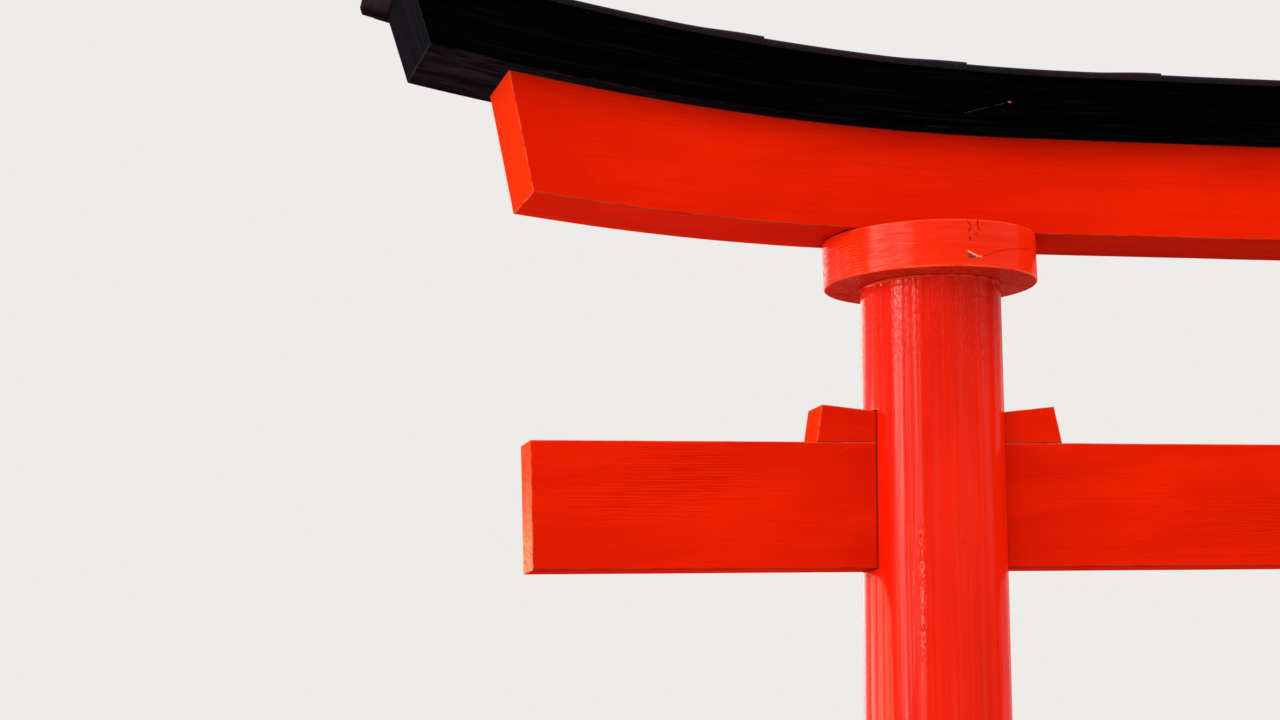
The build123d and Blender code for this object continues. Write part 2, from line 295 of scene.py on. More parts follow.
@dataclass(frozen=True)
class GlossPaint:
    """Brushed gloss paint on timber.

    Slow noise drifts the tone, noise drawn out along the fibres raises the grain in patches with
    painted shade in its valleys, leaves brush strokes and streaks the gloss, and fine noise gives the
    skin of the paint. Marks of the mesh bring grime at the joints and painted shade in recesses,
    along low edges and on undersides, painted shade in the lines between grain ridges, a painted
    sheen in pale streaks on undersides, thin paint on the arrises and bare wood in chips.
    """

    name: str
    body: Colour
    deep: Colour
    roughness: float
    coat: float
    coat_roughness: float
    specular: float
    ridge_high: float
    ridge_fill: float
    stroke_high: float
    skin_high: float
    planing_high: float
    wear: float
    lines: float
    streak: float = 0.75
    dulling: float = 0.0
    brushed: float = 0.0
    # share of the painted sheen on undersides
    under_sheen: float = 0.0
    lay: Triple = (1.0, 1.0, 1.0)
    # tone of grime, also used for painted shade where the marks call for it
    grime: Colour = paint(0.09, 0.010, 0.006)
    # tone of dark grain lines, and of painted shade between the grain ridges
    dark_grain_and_shade: Colour = paint(0.40, 0.0040, 0.0003)
    thin: Colour = paint(0.95, 0.24, 0.10)
    wood: Colour = paint(0.27, 0.080, 0.032)
    splinter: Colour = paint(0.85, 0.55, 0.42)
    # pale tone of the painted sheen on undersides
    painted_sheen: Colour = paint(0.62, 0.17, 0.11)
    end_tone: Colour = paint(0.76, 0.031, 0.0046)
    end_pale: Colour = paint(0.84, 0.078, 0.027)
    end_bleached: Colour = paint(0.86, 0.31, 0.165)
    # share of painted shade in the lines between grain ridges
    line_shade: float = 0.75
    end_cover: float = 0.85
    pale_sawn: float = 0.45
    bleached_sawn: float = 0.70
    speck_cells: float = 30.0
    speck_cover: float = 0.8
    line_high: float = 0.00025
    thread_high: float = 0.0004
    sag_high: float = 0.0006
    saw_high: float = 0.0010
    bare_high: float = 0.0006
    pit_high: float = 0.0009
    swirl_high: float = 0.0009
    rough_drift: float = 0.16
    rough_dirt: float = 0.3
    rough_wood: float = 0.5
    rough_end: float = 0.10
    rough_under: float = 0.20
    under_matt: float = 0.75

    def _flows(self, s: NodeSheet) -> SimpleNamespace:
        """Gathers all that the paint is mixed from.

        Args:
            s: The material's nodes.

        Returns:
            Marks, patterns round one half, and what is made of them, by name.
        """
        where = s.grain()
        grain = s.node("ShaderNodeMapping", {}, {"Vector": where, "Scale": self.lay})
        slanted = s.node("ShaderNodeMapping", {}, {"Vector": grain, "Rotation": SAW_TURN})
        around = s.flows(where, GLOSS_AROUND)
        f = SimpleNamespace(**vars(s.flows(grain, GLOSS_ALONG, GLOSS_MARKS)), **vars(around))
        f.side = 1.0 - f.end
        f.saw = s.noise(slanted, SAW_MARKS)
        low, high = 0.62 - self.ridge_fill, 0.70 - self.ridge_fill * 0.5
        f.patches = f.raised.rise(low, high)
        first, second = [s.node("ShaderNodeMath", {"operation": "SINE"}, {0: s.mark(mark)})
                         for mark in ("phase", "second_phase")]
        f.line = f.ridged * first.rise(0.30, 0.95).most(second.rise(0.45, 1.0, 0.8))
        specks = s.cells(where, self.speck_cells).rise(0.045, 0.022) * f.rare.rise(0.52, 0.60)
        broken = f.touched.rise(0.10, 0.40, 0.4) + 0.6
        # grime and painted shade from the mesh's marks, with specks of dirt
        f.dirty = (f.grime * broken).most(specks * self.speck_cover)
        return f

    def _colour(self, s: NodeSheet, f: SimpleNamespace) -> Tone:
        """Lays the paint's tones over one another.

        Args:
            s: The material's nodes.
            f: The flows that the paint is mixed from.

        Returns:
            The colour.
        """
        sawn = f.saw.rise(0.36, 0.64)
        paled = sawn * self.pale_sawn + (1.0 - self.pale_sawn)
        bleached = sawn * self.bleached_sawn + (1.0 - self.bleached_sawn)
        return s.layered(s.mix(self.deep, self.body, f.wide.rise(0.30, 0.72)), [
            (self.deep, f.strokes.rise(0.54, 0.72, 0.5)),
            # painted shade in the valleys of the risen grain
            (self.deep, f.patches * f.ridges.rise(0.44, 0.30, 0.55)),
            (self.dark_grain_and_shade, f.threads.rise(0.42, 0.26) * self.lines * f.side),
            # painted shade in the lines between grain ridges
            (self.dark_grain_and_shade, f.line * self.line_shade),
            (self.end_tone, f.end * self.end_cover),
            (self.end_pale, f.end * f.pale.rise(0.0, 0.5) * paled),
            (self.end_bleached, f.end * f.pale.rise(0.40, 1.0) * bleached),
            (self.thin, f.arris * f.rubbed.rise(0.34, 0.60) * self.wear),
            (self.deep, f.under * f.stains.rise(0.40, 0.62, 0.5)),
            (self.dark_grain_and_shade, f.under * f.swirls.rise(0.46, 0.34, 0.35)),
            # painted sheen: pale streaks on undersides
            (self.painted_sheen, f.under * f.swirls.rise(0.50, 0.64) * self.under_sheen),
            # grime, and painted shade in recesses, along low edges and on undersides
            (self.grime, f.dirty),
            (s.mix(self.wood, self.grime, f.fibres.rise(0.45, 0.70, 0.7)), f.bare),
            (self.splinter, f.splinter * f.fibres.rise(0.30, 0.46)),
        ])

    def _height(self, s: NodeSheet, f: SimpleNamespace) -> Flow:
        """Relief of the timber and the paint, in metres."""
        return s.heaped([
            (f.ridges, f.patches * f.side * self.ridge_high),
            (f.threads, f.side * (self.lines * self.thread_high)),
            (f.strokes, self.stroke_high),
            (f.planed, f.side * self.planing_high),
            (f.fine, self.skin_high),
            (f.sag, self.sag_high),
            (f.saw, f.end * self.saw_high),
            (f.fibres, f.bare * self.bare_high),
            (f.lumps, f.pits * self.pit_high),
            (f.swirls, f.under * self.swirl_high),
        ], f.line * -self.line_high)

    def _roughness(self, f: SimpleNamespace) -> Flow:
        """Makes the paint rougher where it is dull, dirty or painted with shade, bare, sawn or on an
        underside.

        Args:
            f: The flows that the paint is mixed from.

        Returns:
            The roughness.
        """
        rough = (f.wide - 0.5) * self.rough_drift + self.roughness
        rough = rough + f.streaks.rise(0.60, 0.40) * self.dulling + f.dirty * self.rough_dirt
        return rough + f.bare * self.rough_wood + f.end * self.rough_end + f.under * self.rough_under

    def _shine(self, f: SimpleNamespace) -> Flow:
        """Breaks the gloss up by streaks, strokes and pits, and takes it off where there is no sound paint.

        Args:
            f: The flows that the paint is mixed from.

        Returns:
            The weight of the coat.
        """
        covered = (1.0 - f.dirty.most(f.bare).most(f.end)) * (1.0 - f.under * self.under_matt)
        shine = f.streaks.rise(0.36, 0.64) * (2.0 * self.streak) + (1.0 - self.streak)
        shine = shine * (f.strokes.rise(0.38, 0.62) * self.brushed + (1.0 - 0.5 * self.brushed))
        shine = shine * ((f.lumps.rise(0.44, 0.60, 2.4) - 1.0) * f.pits + 1.0)
        return covered * shine * self.coat

    def material(self) -> bpy.types.Material:
        """Builds the material.

        Returns:
            The material.
        """
        s = NodeSheet(self.name)
        f = self._flows(s)
        return s.surface(self._height(s, f), {
            "Base Color": self._colour(s, f),
            "Roughness": self._roughness(f),
            "Specular IOR Level": self.specular,
            "Coat Weight": self._shine(f),
            "Coat Roughness": self.coat_roughness,
        })


BLACK_MARKS = ("end", "under", "arris", "grime", "scratch", "pale", "bare")
BLACK_PATTERNS = {
    "fibres": Noise((6.0, 260.0, 260.0), 3.0, 0.7, 1.1),
    "wide": Noise((3.0, 14.0, 14.0), 3.0, 0.6, 4.2),
    "streaks": Noise((14.0, 160.0, 55.0), 4.0, 1.0, 6.0),
    "fine": Noise((300.0, 700.0, 700.0), 2.0, 0.0, 2.0),
    "upright": Noise((70.0, 7.0, 150.0), 3.0, 0.4, 9.0),
    "rare": Noise((9.0, 9.0, 9.0), 1.0, 0.0, 7.1),
    "rubbed": Noise((22.0, 60.0, 60.0), 3.0, 0.2, 3.3),
    "broken": Noise((240.0, 240.0, 240.0), 2.0, 0.0, 1.7),
}


@dataclass(frozen=True)
class WeatheredBlack:
    """Thin black paint on timber, chalked where the weather gets at it.

    Noise drawn out along the fibres raises faint grain. A grey bloom grows with a second noise
    on undersides, chalk on ends, and an arris mark lets the timber grey through the edges. The
    marks scratch, across it, and pale, along it from 0 to 1, draw one scratch.
    """

    name: str
    body: Colour
    bloom: Colour
    chalked: Colour
    edge: Colour
    scratched: Colour
    nick: Colour
    roughness: float
    specular: float
    end_chalk: float = 0.15
    bloom_wide: float = 0.5
    end_even: float = 0.50
    speck_cells: float = 22.0
    end_rubbed: float = 0.8
    fibre_high: float = 0.00035
    fine_high: float = 0.00004
    streak_high: float = 0.0003
    wide_high: float = 0.0008
    rough_drift: float = 0.2
    rough_chalk: float = 0.2

    def _scratched(self, f: SimpleNamespace) -> Flow:
        """1 in the scratch and 0 elsewhere."""
        beside = f.scratch.most(f.scratch * -1.0).rise(0.10, 0.03)
        return beside * f.pale.rise(-0.02, 0.04) * f.pale.rise(1.02, 0.96)

    def material(self) -> bpy.types.Material:
        """Builds the material.

        Returns:
            The material.
        """
        s = NodeSheet(self.name)
        grain = s.grain()
        f = s.flows(grain, BLACK_PATTERNS, BLACK_MARKS)
        chalk = (f.end * self.end_chalk).most(f.under)
        specks = s.cells(grain, self.speck_cells).rise(0.026, 0.012) * f.rare.rise(0.53, 0.60, 0.8)
        worn = (f.arris * f.rubbed.rise(0.46, 0.66, 0.30)).most(f.arris * f.end * self.end_rubbed)
        colour = s.layered(self.body, [
            (self.bloom, chalk * (f.wide * self.bloom_wide + f.streaks.rise(0.40, 0.72, 0.5))),
            (self.chalked, f.end * (f.upright.rise(0.42, 0.72, 0.40) + self.end_even)),
            (self.chalked, f.fibres.rise(0.50, 0.76, 0.18)),
            (self.edge, specks),
            (self.edge, worn),
            # black laid back where the marks ask: painted shadow under the cover, and the underside darker
            # away from the ends
            (self.body, f.grime),
            (self.scratched, self._scratched(f) * f.broken.rise(0.38, 0.52)),
            (self.nick, f.bare.rise(0.30, 0.70)),
        ])
        height = s.heaped([(f.fibres, self.fibre_high), (f.fine, self.fine_high),
                           (f.streaks, chalk * self.streak_high), (f.wide, self.wide_high)])
        return s.surface(height, {
            "Base Color": colour,
            "Roughness": self.roughness + (f.wide - 0.5) * self.rough_drift + chalk * self.rough_chalk,
            "Specular IOR Level": self.specular,
        })


SHEET_MARKS = ("under", "arris", "grime")
SHEET_PATTERNS = {
    "wide": Noise((7.0, 12.0, 12.0), 3.0, 0.5, 1.0),
    "spots": Noise((90.0, 90.0, 90.0), 4.0, 0.4, 5.0),
    "streaks": Noise((120.0, 9.0, 9.0), 3.0, 0.3, 8.0),
    "dents": Noise((14.0, 14.0, 14.0), 1.0, 0.0, 3.0),
}


@dataclass(frozen=True)
class BrownSheet:
    """Sheet metal gone brown, with a dull bloom and rain streaks.

    Slow noise mixes two browns, a finer one adds spots, and noise drawn out down the fall of
    the roof leaves streaks. Marks of the mesh bring a painted highlight on the bends with bloom on
    the cut edges, and painted shade in the laps and down the hems.
    """

    name: str
    body: Colour
    warm: Colour
    bloom: Colour
    # near-black tone of the painted shade in laps and down hems
    shut: Colour
    roughness: float
    metallic: float
    specular: float = 0.08
    warm_under: float = 0.8
    under_shut: float = 0.7
    # painted highlight on the bends, and bloom on the cut edges
    edge_bloom_and_highlight: float = 0.8
    # strength of the painted shade
    shade_share: float = 0.9
    dent_high: float = 0.0012
    spot_high: float = 0.00006
    metal_drift: float = 0.2
    rough_spots: float = 0.3
    rough_under: float = 0.15

    def material(self) -> bpy.types.Material:
        """Builds the material.

        Returns:
            The material.
        """
        s = NodeSheet(self.name)
        f = s.flows(s.grain(), SHEET_PATTERNS, SHEET_MARKS)
        open_side = 1.0 - f.under * self.under_shut
        colour = s.layered(self.body, [
            (self.warm, f.wide.rise(0.35, 0.70, 0.7)),
            (self.warm, f.under * self.warm_under),
            (self.bloom, f.streaks.rise(0.56, 0.78, 0.30) * open_side),
            (self.bloom, f.spots.rise(0.58, 0.72, 0.30) * open_side),
            # painted highlight on the bends, and bloom on the cut edges
            (self.bloom, f.arris * self.edge_bloom_and_highlight),
            # painted shadow in the laps and painted shade down the hems
            (self.shut, f.grime * self.shade_share),
        ])
        return s.surface(s.heaped([(f.dents, self.dent_high), (f.spots, self.spot_high)]), {
            "Base Color": colour,
            "Metallic": self.metallic + (f.wide - 0.5) * self.metal_drift,
            "Roughness": self.roughness + (f.spots - 0.5) * self.rough_spots + f.under * self.rough_under,
            "Specular IOR Level": self.specular,
        })


BAND_MARKS = ("grime", "arris")
BAND_PATTERNS = {
    "beaten": Noise((46.0, 46.0, 46.0), 1.0, 0.0, 1.0),
    "fine": Noise((420.0, 420.0, 420.0), 2.0, 0.0, 2.0),
    "clouds": Noise((34.0, 34.0, 26.0), 7.0, 0.4, 4.0),
    "scuffs": Noise((130.0, 60.0, 60.0), 3.0, 0.8, 7.0),
}


@dataclass(frozen=True)
class BandLacquer:
    """Black lacquer on a beaten metal band, scuffed towards the ground.

    Round noise gives the beating, fine noise the skin, and the grime mark brings dust and scuffs.
    """

    name: str
    body: Colour
    dust: Colour
    metal: Colour
    roughness: float
    specular: float = 0.3
    scuff_least: float = 0.25
    scuff_low: float = 0.6
    beaten_high: float = 0.0009
    fine_high: float = 0.00003
    rough_dust: float = 0.25
    rough_clouds: float = 0.2

    def material(self) -> bpy.types.Material:
        """Builds the material.

        Returns:
            The material.
        """
        s = NodeSheet(self.name)
        f = s.flows(s.grain(), BAND_PATTERNS, BAND_MARKS)
        colour = s.layered(self.body, [
            (self.dust, f.grime * f.clouds.rise(0.36, 0.62)),
            (self.metal, f.scuffs.rise(0.70, 0.78) * (f.grime * self.scuff_low + self.scuff_least)),
            (self.metal, f.arris * f.clouds.rise(0.40, 0.60, 0.5)),
        ])
        return s.surface(s.heaped([(f.beaten, self.beaten_high), (f.fine, self.fine_high)]), {
            "Base Color": colour,
            "Roughness": self.roughness + f.grime * self.rough_dust + (f.clouds - 0.5) * self.rough_clouds,
            "Specular IOR Level": self.specular,
        })


@dataclass(frozen=True)
class StudioFloor:
    """Plain pale floor with a breath of unevenness in its tone."""

    name: str
    body: Colour
    shade: Colour
    roughness: float = 0.85
    specular: float = 0.1
    clouds: Noise = Noise((0.6, 0.6, 0.6), 3.0)

    def material(self) -> bpy.types.Material:
        """Builds the material.

        Returns:
            The material.
        """
        s = NodeSheet(self.name)
        clouds = s.noise(s.node("ShaderNodeTexCoord", output="Object"), self.clouds)
        tone = s.mix(self.shade, self.body, clouds)
        return s.surface(None, {"Base Color": tone, "Roughness": self.roughness,
                                "Specular IOR Level": self.specular})


# Meshes

MARKS = ("grime", "arris", "bare", "pits", "under", "scratch", "pale", "ridged", "phase", "second_phase",
         "splinter")
WELD = 2e-5
AT_EDGE = 1e-6
TIMBER_SPREAD = 9.0
RIPPLE_WAYS = 6
ARRIS = 0.0011
ARRIS_SEEN = 2.2
ARRIS_WAVES, ARRIS_WEAR = 9.0, 0.16
BOARD_WAVES = 5.0
BOARD_WANDER = np.array([0.2, 1.0, 1.0])
EDGE_LINES = np.array([0.0, 0.4, 1.0, 2.2])
EDGE_CLEAR = 1.4
SPOT_LINES = np.arange(-0.006, 0.0061, 0.0008)
SPOT_CLEAR = 0.0009
JOINT_GRIME = 0.0016


class Side(Enum):
    """Which half of the gate a piece belongs to."""

    LEFT = "left"
    RIGHT = "right"


@dataclass(frozen=True)
class GateSizes:
    """Sizes that more than one sub-assembly needs, the same as the solids have."""

    middle: float = 1.1051
    axis: float = 1.050
    lean: float = 0.029
    foot_radius: float = 0.114
    head_radius: float = 0.1025
    post_height: float = 2.316
    ring_top: float = 2.384
    ring_radius: float = 0.157
    tie_bottom: float = 1.900
    tie_top: float = 2.081
    tie_depth: float = 0.065
    seat: float = 2.528
    crest: float = 2.622
    upper_depth: float = 0.203
    fall: float = 0.115

    def axis_at(self, z: Numbers) -> Numbers:
        """X of the left post's axis at a height."""
        return self.lean * z

    def radius_at(self, z: Numbers) -> Numbers:
        """Radius of a post at a height."""
        return self.foot_radius - (self.foot_radius - self.head_radius) * z / self.post_height

    def tie_meets(self, z: float) -> float:
        """Distance from a post's axis to where the tie beam's faces enter its round side."""
        return (self.radius_at(z) ** 2 - (self.tie_depth / 2) ** 2) ** 0.5


GATE = GateSizes()


@dataclass(frozen=True)
class LongEdge:
    """A long edge of a lintel: level in the middle, then a round arc up to each end."""

    level: float
    flat: float
    radius: float

    def height(self, x: Numbers) -> Numbers:
        """Height of the edge at a distance from the gate's middle: radius less the arc's cosine leg."""
        run = np.maximum(np.abs(x) - self.flat, 0.0)
        return self.level + self.radius - np.sqrt(self.radius**2 - run**2)

    def meets(self, low_reach: float, low_z: float, slant: float, lift: Numbers = 0.0) -> Numbers:
        """Where a slanted end line meets the edge, from the circle's quadratic.

        Args:
            low_reach: Distance of the end line's lower corner from the middle.
            low_z: Height of that corner.
            slant: Outward run of the end line for each unit of height.
            lift: How far the edge is lifted.

        Returns:
            The distance from the middle.
        """
        run = low_reach + slant * (self.level + lift - low_z) - self.flat
        half = self.radius - slant * run
        rise = (half - np.sqrt(half**2 - (1 + slant**2) * run**2)) / (1 + slant**2)
        return self.flat + run + slant * rise


UNDERSIDE = LongEdge(GATE.ring_top, GATE.axis + 0.019, 4.136)
SEAT = LongEdge(GATE.seat, GATE.axis - 0.150, 4.263)
CREST = LongEdge(GATE.crest, GATE.axis - 0.219, 4.009)


def bounded(value: Numbers) -> Numbers:
    """The value, held between 0 and 1."""
    return np.clip(value, 0.0, 1.0)


def near(distance: Numbers, reach: float) -> Numbers:
    """1 at no distance, falling evenly to 0 at the reach."""
    return bounded(1.0 - np.abs(distance) / reach)


@dataclass(frozen=True)
class Ramp:
    """An even rise from 0, at start, to a share, a reach further on; the reach may be negative."""

    start: float
    reach: float
    share: float = 1.0

    def at(self, value: Numbers) -> Numbers:
        """The mark at a value."""
        return self.share * bounded((value - self.start) / self.reach)


def both_ways(distances: Array) -> Array:
    """Distances to both sides of a line, with the line itself."""
    return np.concatenate([-distances[::-1], [0.0], distances])


def apart(even: Array, wanted: Array, clear: float) -> Array:
    """Those of some even lines that stand clear of the wanted ones."""
    return even[np.abs(even[:, None] - wanted[None, :]).min(axis=1, initial=1.0) > clear]


def timber_shift(seed: int) -> Array:
    """Where in the timber a piece is cut, so that no two show the same grain."""
    return np.random.default_rng(seed).uniform(0.0, TIMBER_SPREAD, 3)


def ripple(where: Array, waves: float, height: float, seed: int) -> Array:
    """Slight unevenness: a sum of six sine waves in seeded directions.

    Args:
        where: Places, in metres.
        waves: Waves per metre, roughly.
        height: Largest departure.
        seed: Chooses the directions and phases.

    Returns:
        The departure at each place.
    """
    dice = np.random.default_rng(seed)
    ways = dice.normal(0.0, 1.0, (RIPPLE_WAYS, 3)) * waves * math.tau / math.sqrt(3)
    phases = dice.uniform(0.0, math.tau, RIPPLE_WAYS)
    return np.sin(where @ ways.T + phases).sum(axis=-1) * height / RIPPLE_WAYS


def rounded(sharp: Array, block: Array, seed: int) -> Array:
    """Rounds the arrises of a block.

    A point p becomes q + r * (p - q) / |p - q|, where q is p held inside the block made smaller by
    the rounding r all round, and r varies a little from place to place.

    Args:
        sharp: Points on the block's sides.
        block: Its length, height and depth.
        seed: Chooses how the rounding varies.

    Returns:
        The points on the rounded block.
    """
    wear = ARRIS * (1.0 + ripple(sharp, ARRIS_WAVES, ARRIS_WEAR, seed + 11))[..., None]
    core = np.clip(sharp, wear, block - wear)
    away = sharp - core
    length = np.maximum(np.linalg.norm(away, axis=-1, keepdims=True), 1e-9)
    return core + wear * away / length


def lines(count: int, length: float, rounding: float, spots: tuple[float, ...] = ()) -> Array:
    """Even grid lines from 0 to 1, with closer ones over the rounded edge at each end and at spots.

    Args:
        count: Even steps.
        length: Length that the lines divide.
        rounding: Radius of the edges.
        spots: Distances along the length where fine work needs close lines.

    Returns:
        The lines, as shares of the length.
    """
    inner = np.linspace(0.0, 1.0, count + 1)[1:-1]
    edge = EDGE_LINES * rounding / length
    close = (np.array(spots)[:, None] + SPOT_LINES[None, :]).reshape(-1) / length
    inner = inner[(inner > EDGE_CLEAR * edge[-1]) & (inner < 1.0 - EDGE_CLEAR * edge[-1])]
    return np.sort(np.concatenate([edge, apart(inner, close, SPOT_CLEAR / length), close, 1.0 - edge]))


class MeshPlan:
    """Grids of points gathered into one mesh, with the marks that its material reads."""

    def __init__(self) -> None:
        """Starts empty."""
        self.points: list[Array] = []
        self.quads: list[Array] = []
        self.grains: list[Array] = []
        self.marks: dict[str, list[Array]] = {name: [] for name in MARKS}
        self.ends: list[Array] = []
        self.count = 0

    def grid(self, surface: Array, grain: Array, wrap_rows: bool = False,
             wrap_columns: bool = False, end: bool = False, keep: Array | None = None,
             **marks: Numbers) -> None:
        """Adds a grid of points as quads, each joined to the next row and column.

        Args:
            surface: Points, rows by columns by three.
            grain: Places in the timber, of the same shape.
            wrap_rows: Joins the last row to the first.
            wrap_columns: Joins the last column to the first.
            end: Marks the faces as sawn ends.
            keep: Which quads are made, rows by columns; all of them where it is left out.
            **marks: Numbers for each point.
        """
        rows, columns = surface.shape[:2]
        index = np.arange(rows * columns).reshape(rows, columns) + self.count
        if wrap_rows:
            index = np.vstack([index, index[:1]])
        if wrap_columns:
            index = np.hstack([index, index[:, :1]])
        quads = np.stack([index[:-1, :-1], index[:-1, 1:], index[1:, 1:], index[1:, :-1]], axis=-1)
        quads = quads.reshape(-1, 4) if keep is None else quads[keep]
        self.points.append(surface.reshape(-1, 3))
        self.grains.append(grain.reshape(-1, 3))
        self.quads.append(quads)
        self.ends.append(np.full(len(quads), float(end)))
        for name in MARKS:
            self.marks[name].append(np.broadcast_to(marks.get(name, 0.0), (rows, columns)).reshape(-1))
        self.count += rows * columns

    def board(self, place: Place, size: Triple, counts: tuple[int, int, int], seed: int, dress: Dress,
              relief: Relief | None = None, wander: float = 0.00035,
              spots: tuple[tuple[float, ...], ...] = ((), (), ())) -> None:
        """Adds a board: the six sides of a block with rounded arrises, carried to their place.

        Args:
            place: Takes points of the unit cube to the gate: along, up and through.
            size: Rough length, height and depth.
            counts: Grid steps along, up and through.
            seed: Chooses the unevenness and the timber.
            dress: Gives marks from unit points and final points.
            relief: Gives how far the front is pushed back at unit points and final points.
            wander: Height of the unevenness.
            spots: Distances along, up and through where the grid is close.
        """
        block = np.array(size)
        shift = timber_shift(seed)
        steps = [lines(counts[way], size[way], ARRIS, spots[way]) for way in range(3)]
        for fixed in range(3):
            first, second = [way for way in range(3) if way != fixed]
            for value in (0.0, 1.0):
                unit = np.empty((len(steps[first]), len(steps[second]), 3))
                unit[..., first] = steps[first][:, None]
                unit[..., second] = steps[second][None, :]
                unit[..., fixed] = value
                sharp = unit * block
                surface = place(rounded(sharp, block, seed) / block)
                uneven = [ripple(surface, BOARD_WAVES, wander, seed + way) for way in range(3)]
                surface = surface + np.stack(uneven, axis=-1) * BOARD_WANDER
                if relief is not None:
                    surface[..., 1] += relief(unit, surface)
                inside = np.minimum(sharp, block - sharp)
                gap = np.minimum(inside[..., first], inside[..., second])
                below = fixed == 1 and value == 0.0
                marks = {"arris": near(gap, ARRIS_SEEN * ARRIS), "under": float(below)}
                self.grid(surface, sharp + shift, end=fixed == 0, **(marks | dress(unit, surface)))

    @staticmethod
    def _carry(mesh: bpy.types.Mesh, name: str, parts: list[Array], domain: str = "POINT") -> None:
        """Stores numbers or places on a mesh.

        Args:
            mesh: The mesh.
            name: Name that the material reads them by.
            parts: Numbers, or places of three, of one grid after the other.
            domain: Whether they belong to its points or its faces.
        """
        values = np.concatenate(parts).astype(np.float32)
        kind, key = ("FLOAT", "value") if values.ndim == 1 else ("FLOAT_VECTOR", "vector")
        mesh.attributes.new(name, kind, domain).data.foreach_set(key, values.ravel())

    def build(self, name: str, material: bpy.types.Material, slot: str,
              stands_for: list[str]) -> None:
        """Makes the object, hangs it under the root and hides the solids that it stands for.

        Args:
            name: The piece's name.
            material: Its finish.
            slot: Not used.
            stands_for: Solids that it replaces.
        """
        mesh = bpy.data.meshes.new(name)
        mesh.from_pydata(np.concatenate(self.points), [], np.concatenate(self.quads))
        for mark in MARKS:
            self._carry(mesh, mark, self.marks[mark])
        self._carry(mesh, "grain", self.grains)
        self._carry(mesh, "end", self.ends, "FACE")
        work = bmesh.new()
        work.from_mesh(mesh)
        bmesh.ops.remove_doubles(work, verts=work.verts, dist=WELD)
        bmesh.ops.recalc_face_normals(work, faces=work.faces)
        work.to_mesh(mesh)
        work.free()
        mesh.polygons.foreach_set("use_smooth", np.ones(len(mesh.polygons), bool))
        mesh.materials.append(material)
        piece = bpy.data.objects.new(name, mesh)
        bpy.context.scene.collection.objects.link(piece)
        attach(piece, "root")
        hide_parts(*stands_for)
        LOG.info("%s: %d faces", name, len(mesh.polygons))


def on_side(points: Array, side: Side) -> Array:
    """Points of the left half, mirrored about the gate's middle for the right half."""
    mirrored = points * np.array([-1.0, 1.0, 1.0]) + np.array([2 * GATE.middle, 0.0, 0.0])
    return points if side is Side.LEFT else mirrored


def off_posts(points: Array) -> Array:
    """Distance from points out to the nearer post's round surface, level with them."""
    x, y, z = np.moveaxis(points, -1, 0)
    return np.hypot(np.minimum(x, 2 * GATE.middle - x) - GATE.axis_at(z), y) - GATE.radius_at(z)


def turned(axis: Numbers, reach: Numbers, turn: Array, z: Numbers) -> Array:
    """Points round an upright axis: axis + reach * cosine of the turn, reach * its sine, and the height."""
    level = np.broadcast_to(z, turn.shape)
    return np.stack([axis + reach * np.cos(turn), reach * np.sin(turn), level], axis=-1)


@dataclass(frozen=True)
class Groove:
    """A drying crack down a post, painted over: angles in degrees round the axis, heights in metres."""

    angle: float
    low: float
    high: float
    lean: float
    width: float
    depth: float
    closing: float = 0.05

    def centre(self, z: Array) -> Array:
        """Follows the crack down the post.

        Args:
            z: Heights.

        Returns:
            Its angle at each height: it leans evenly, and wavers a little.
        """
        middle = (self.low + self.high) / 2
        held = np.clip(z, self.low, self.high)
        waver = np.sin(held * 41.0 + self.angle) * 0.25 + np.sin(held * 97.0) * 0.12
        return np.radians(self.angle + self.lean * (held - middle) + waver)

    def cut(self, angles: Array, z: Array, radius: Array) -> Array:
        """Cuts the crack.

        Args:
            angles: Angles round the axis.
            z: Heights.
            radius: Radius of the post there.

        Returns:
            Its depth: a bell across it, closing towards both ends.
        """
        across = (angles - self.centre(z)) * radius / self.width
        shut = bounded(np.minimum(z - self.low, self.high - z) / self.closing)
        return self.depth * np.exp(-(across**2)) * shut * (2.0 - shut)


@dataclass(frozen=True)
class RoughPatch:
    """Patch of rough paint on a post: angles in degrees, heights in metres, and how soft its edges are."""

    low_angle: float
    high_angle: float
    low: float
    high: float
    soft_angle: float = 2.5
    soft: float = 0.06

    def share(self, turn: Array, z: Array) -> Array:
        """1 well inside the patch, falling evenly to 0 at its outline."""
        across = bounded(np.minimum(turn - self.low_angle, self.high_angle - turn) / self.soft_angle)
        return across * bounded(np.minimum(z - self.low, self.high - z) / self.soft)


SLOT_LINES = np.array([0.0007, 0.0016, 0.0035])
CRACK_LINES = np.array([0.0006, 0.0012, 0.0020, 0.0032])
HEAD_LINES = np.array([0.0055, 0.0045, 0.0036, 0.0028, 0.0020, 0.0012, 0.0005, 0.0])
FOOT_LINES = np.array([0.0, 0.0008, 0.002])
COLUMN_CLEAR = 0.0012
ROW_CLEAR = 0.0025
PLANE_TURNS = (3, 5, 8, 13, 19, 26, 34)
PLANE_HEIGHTS = (0.00026, 0.00020, 0.00015, 0.00010, 0.00008, 0.00006, 0.000035)


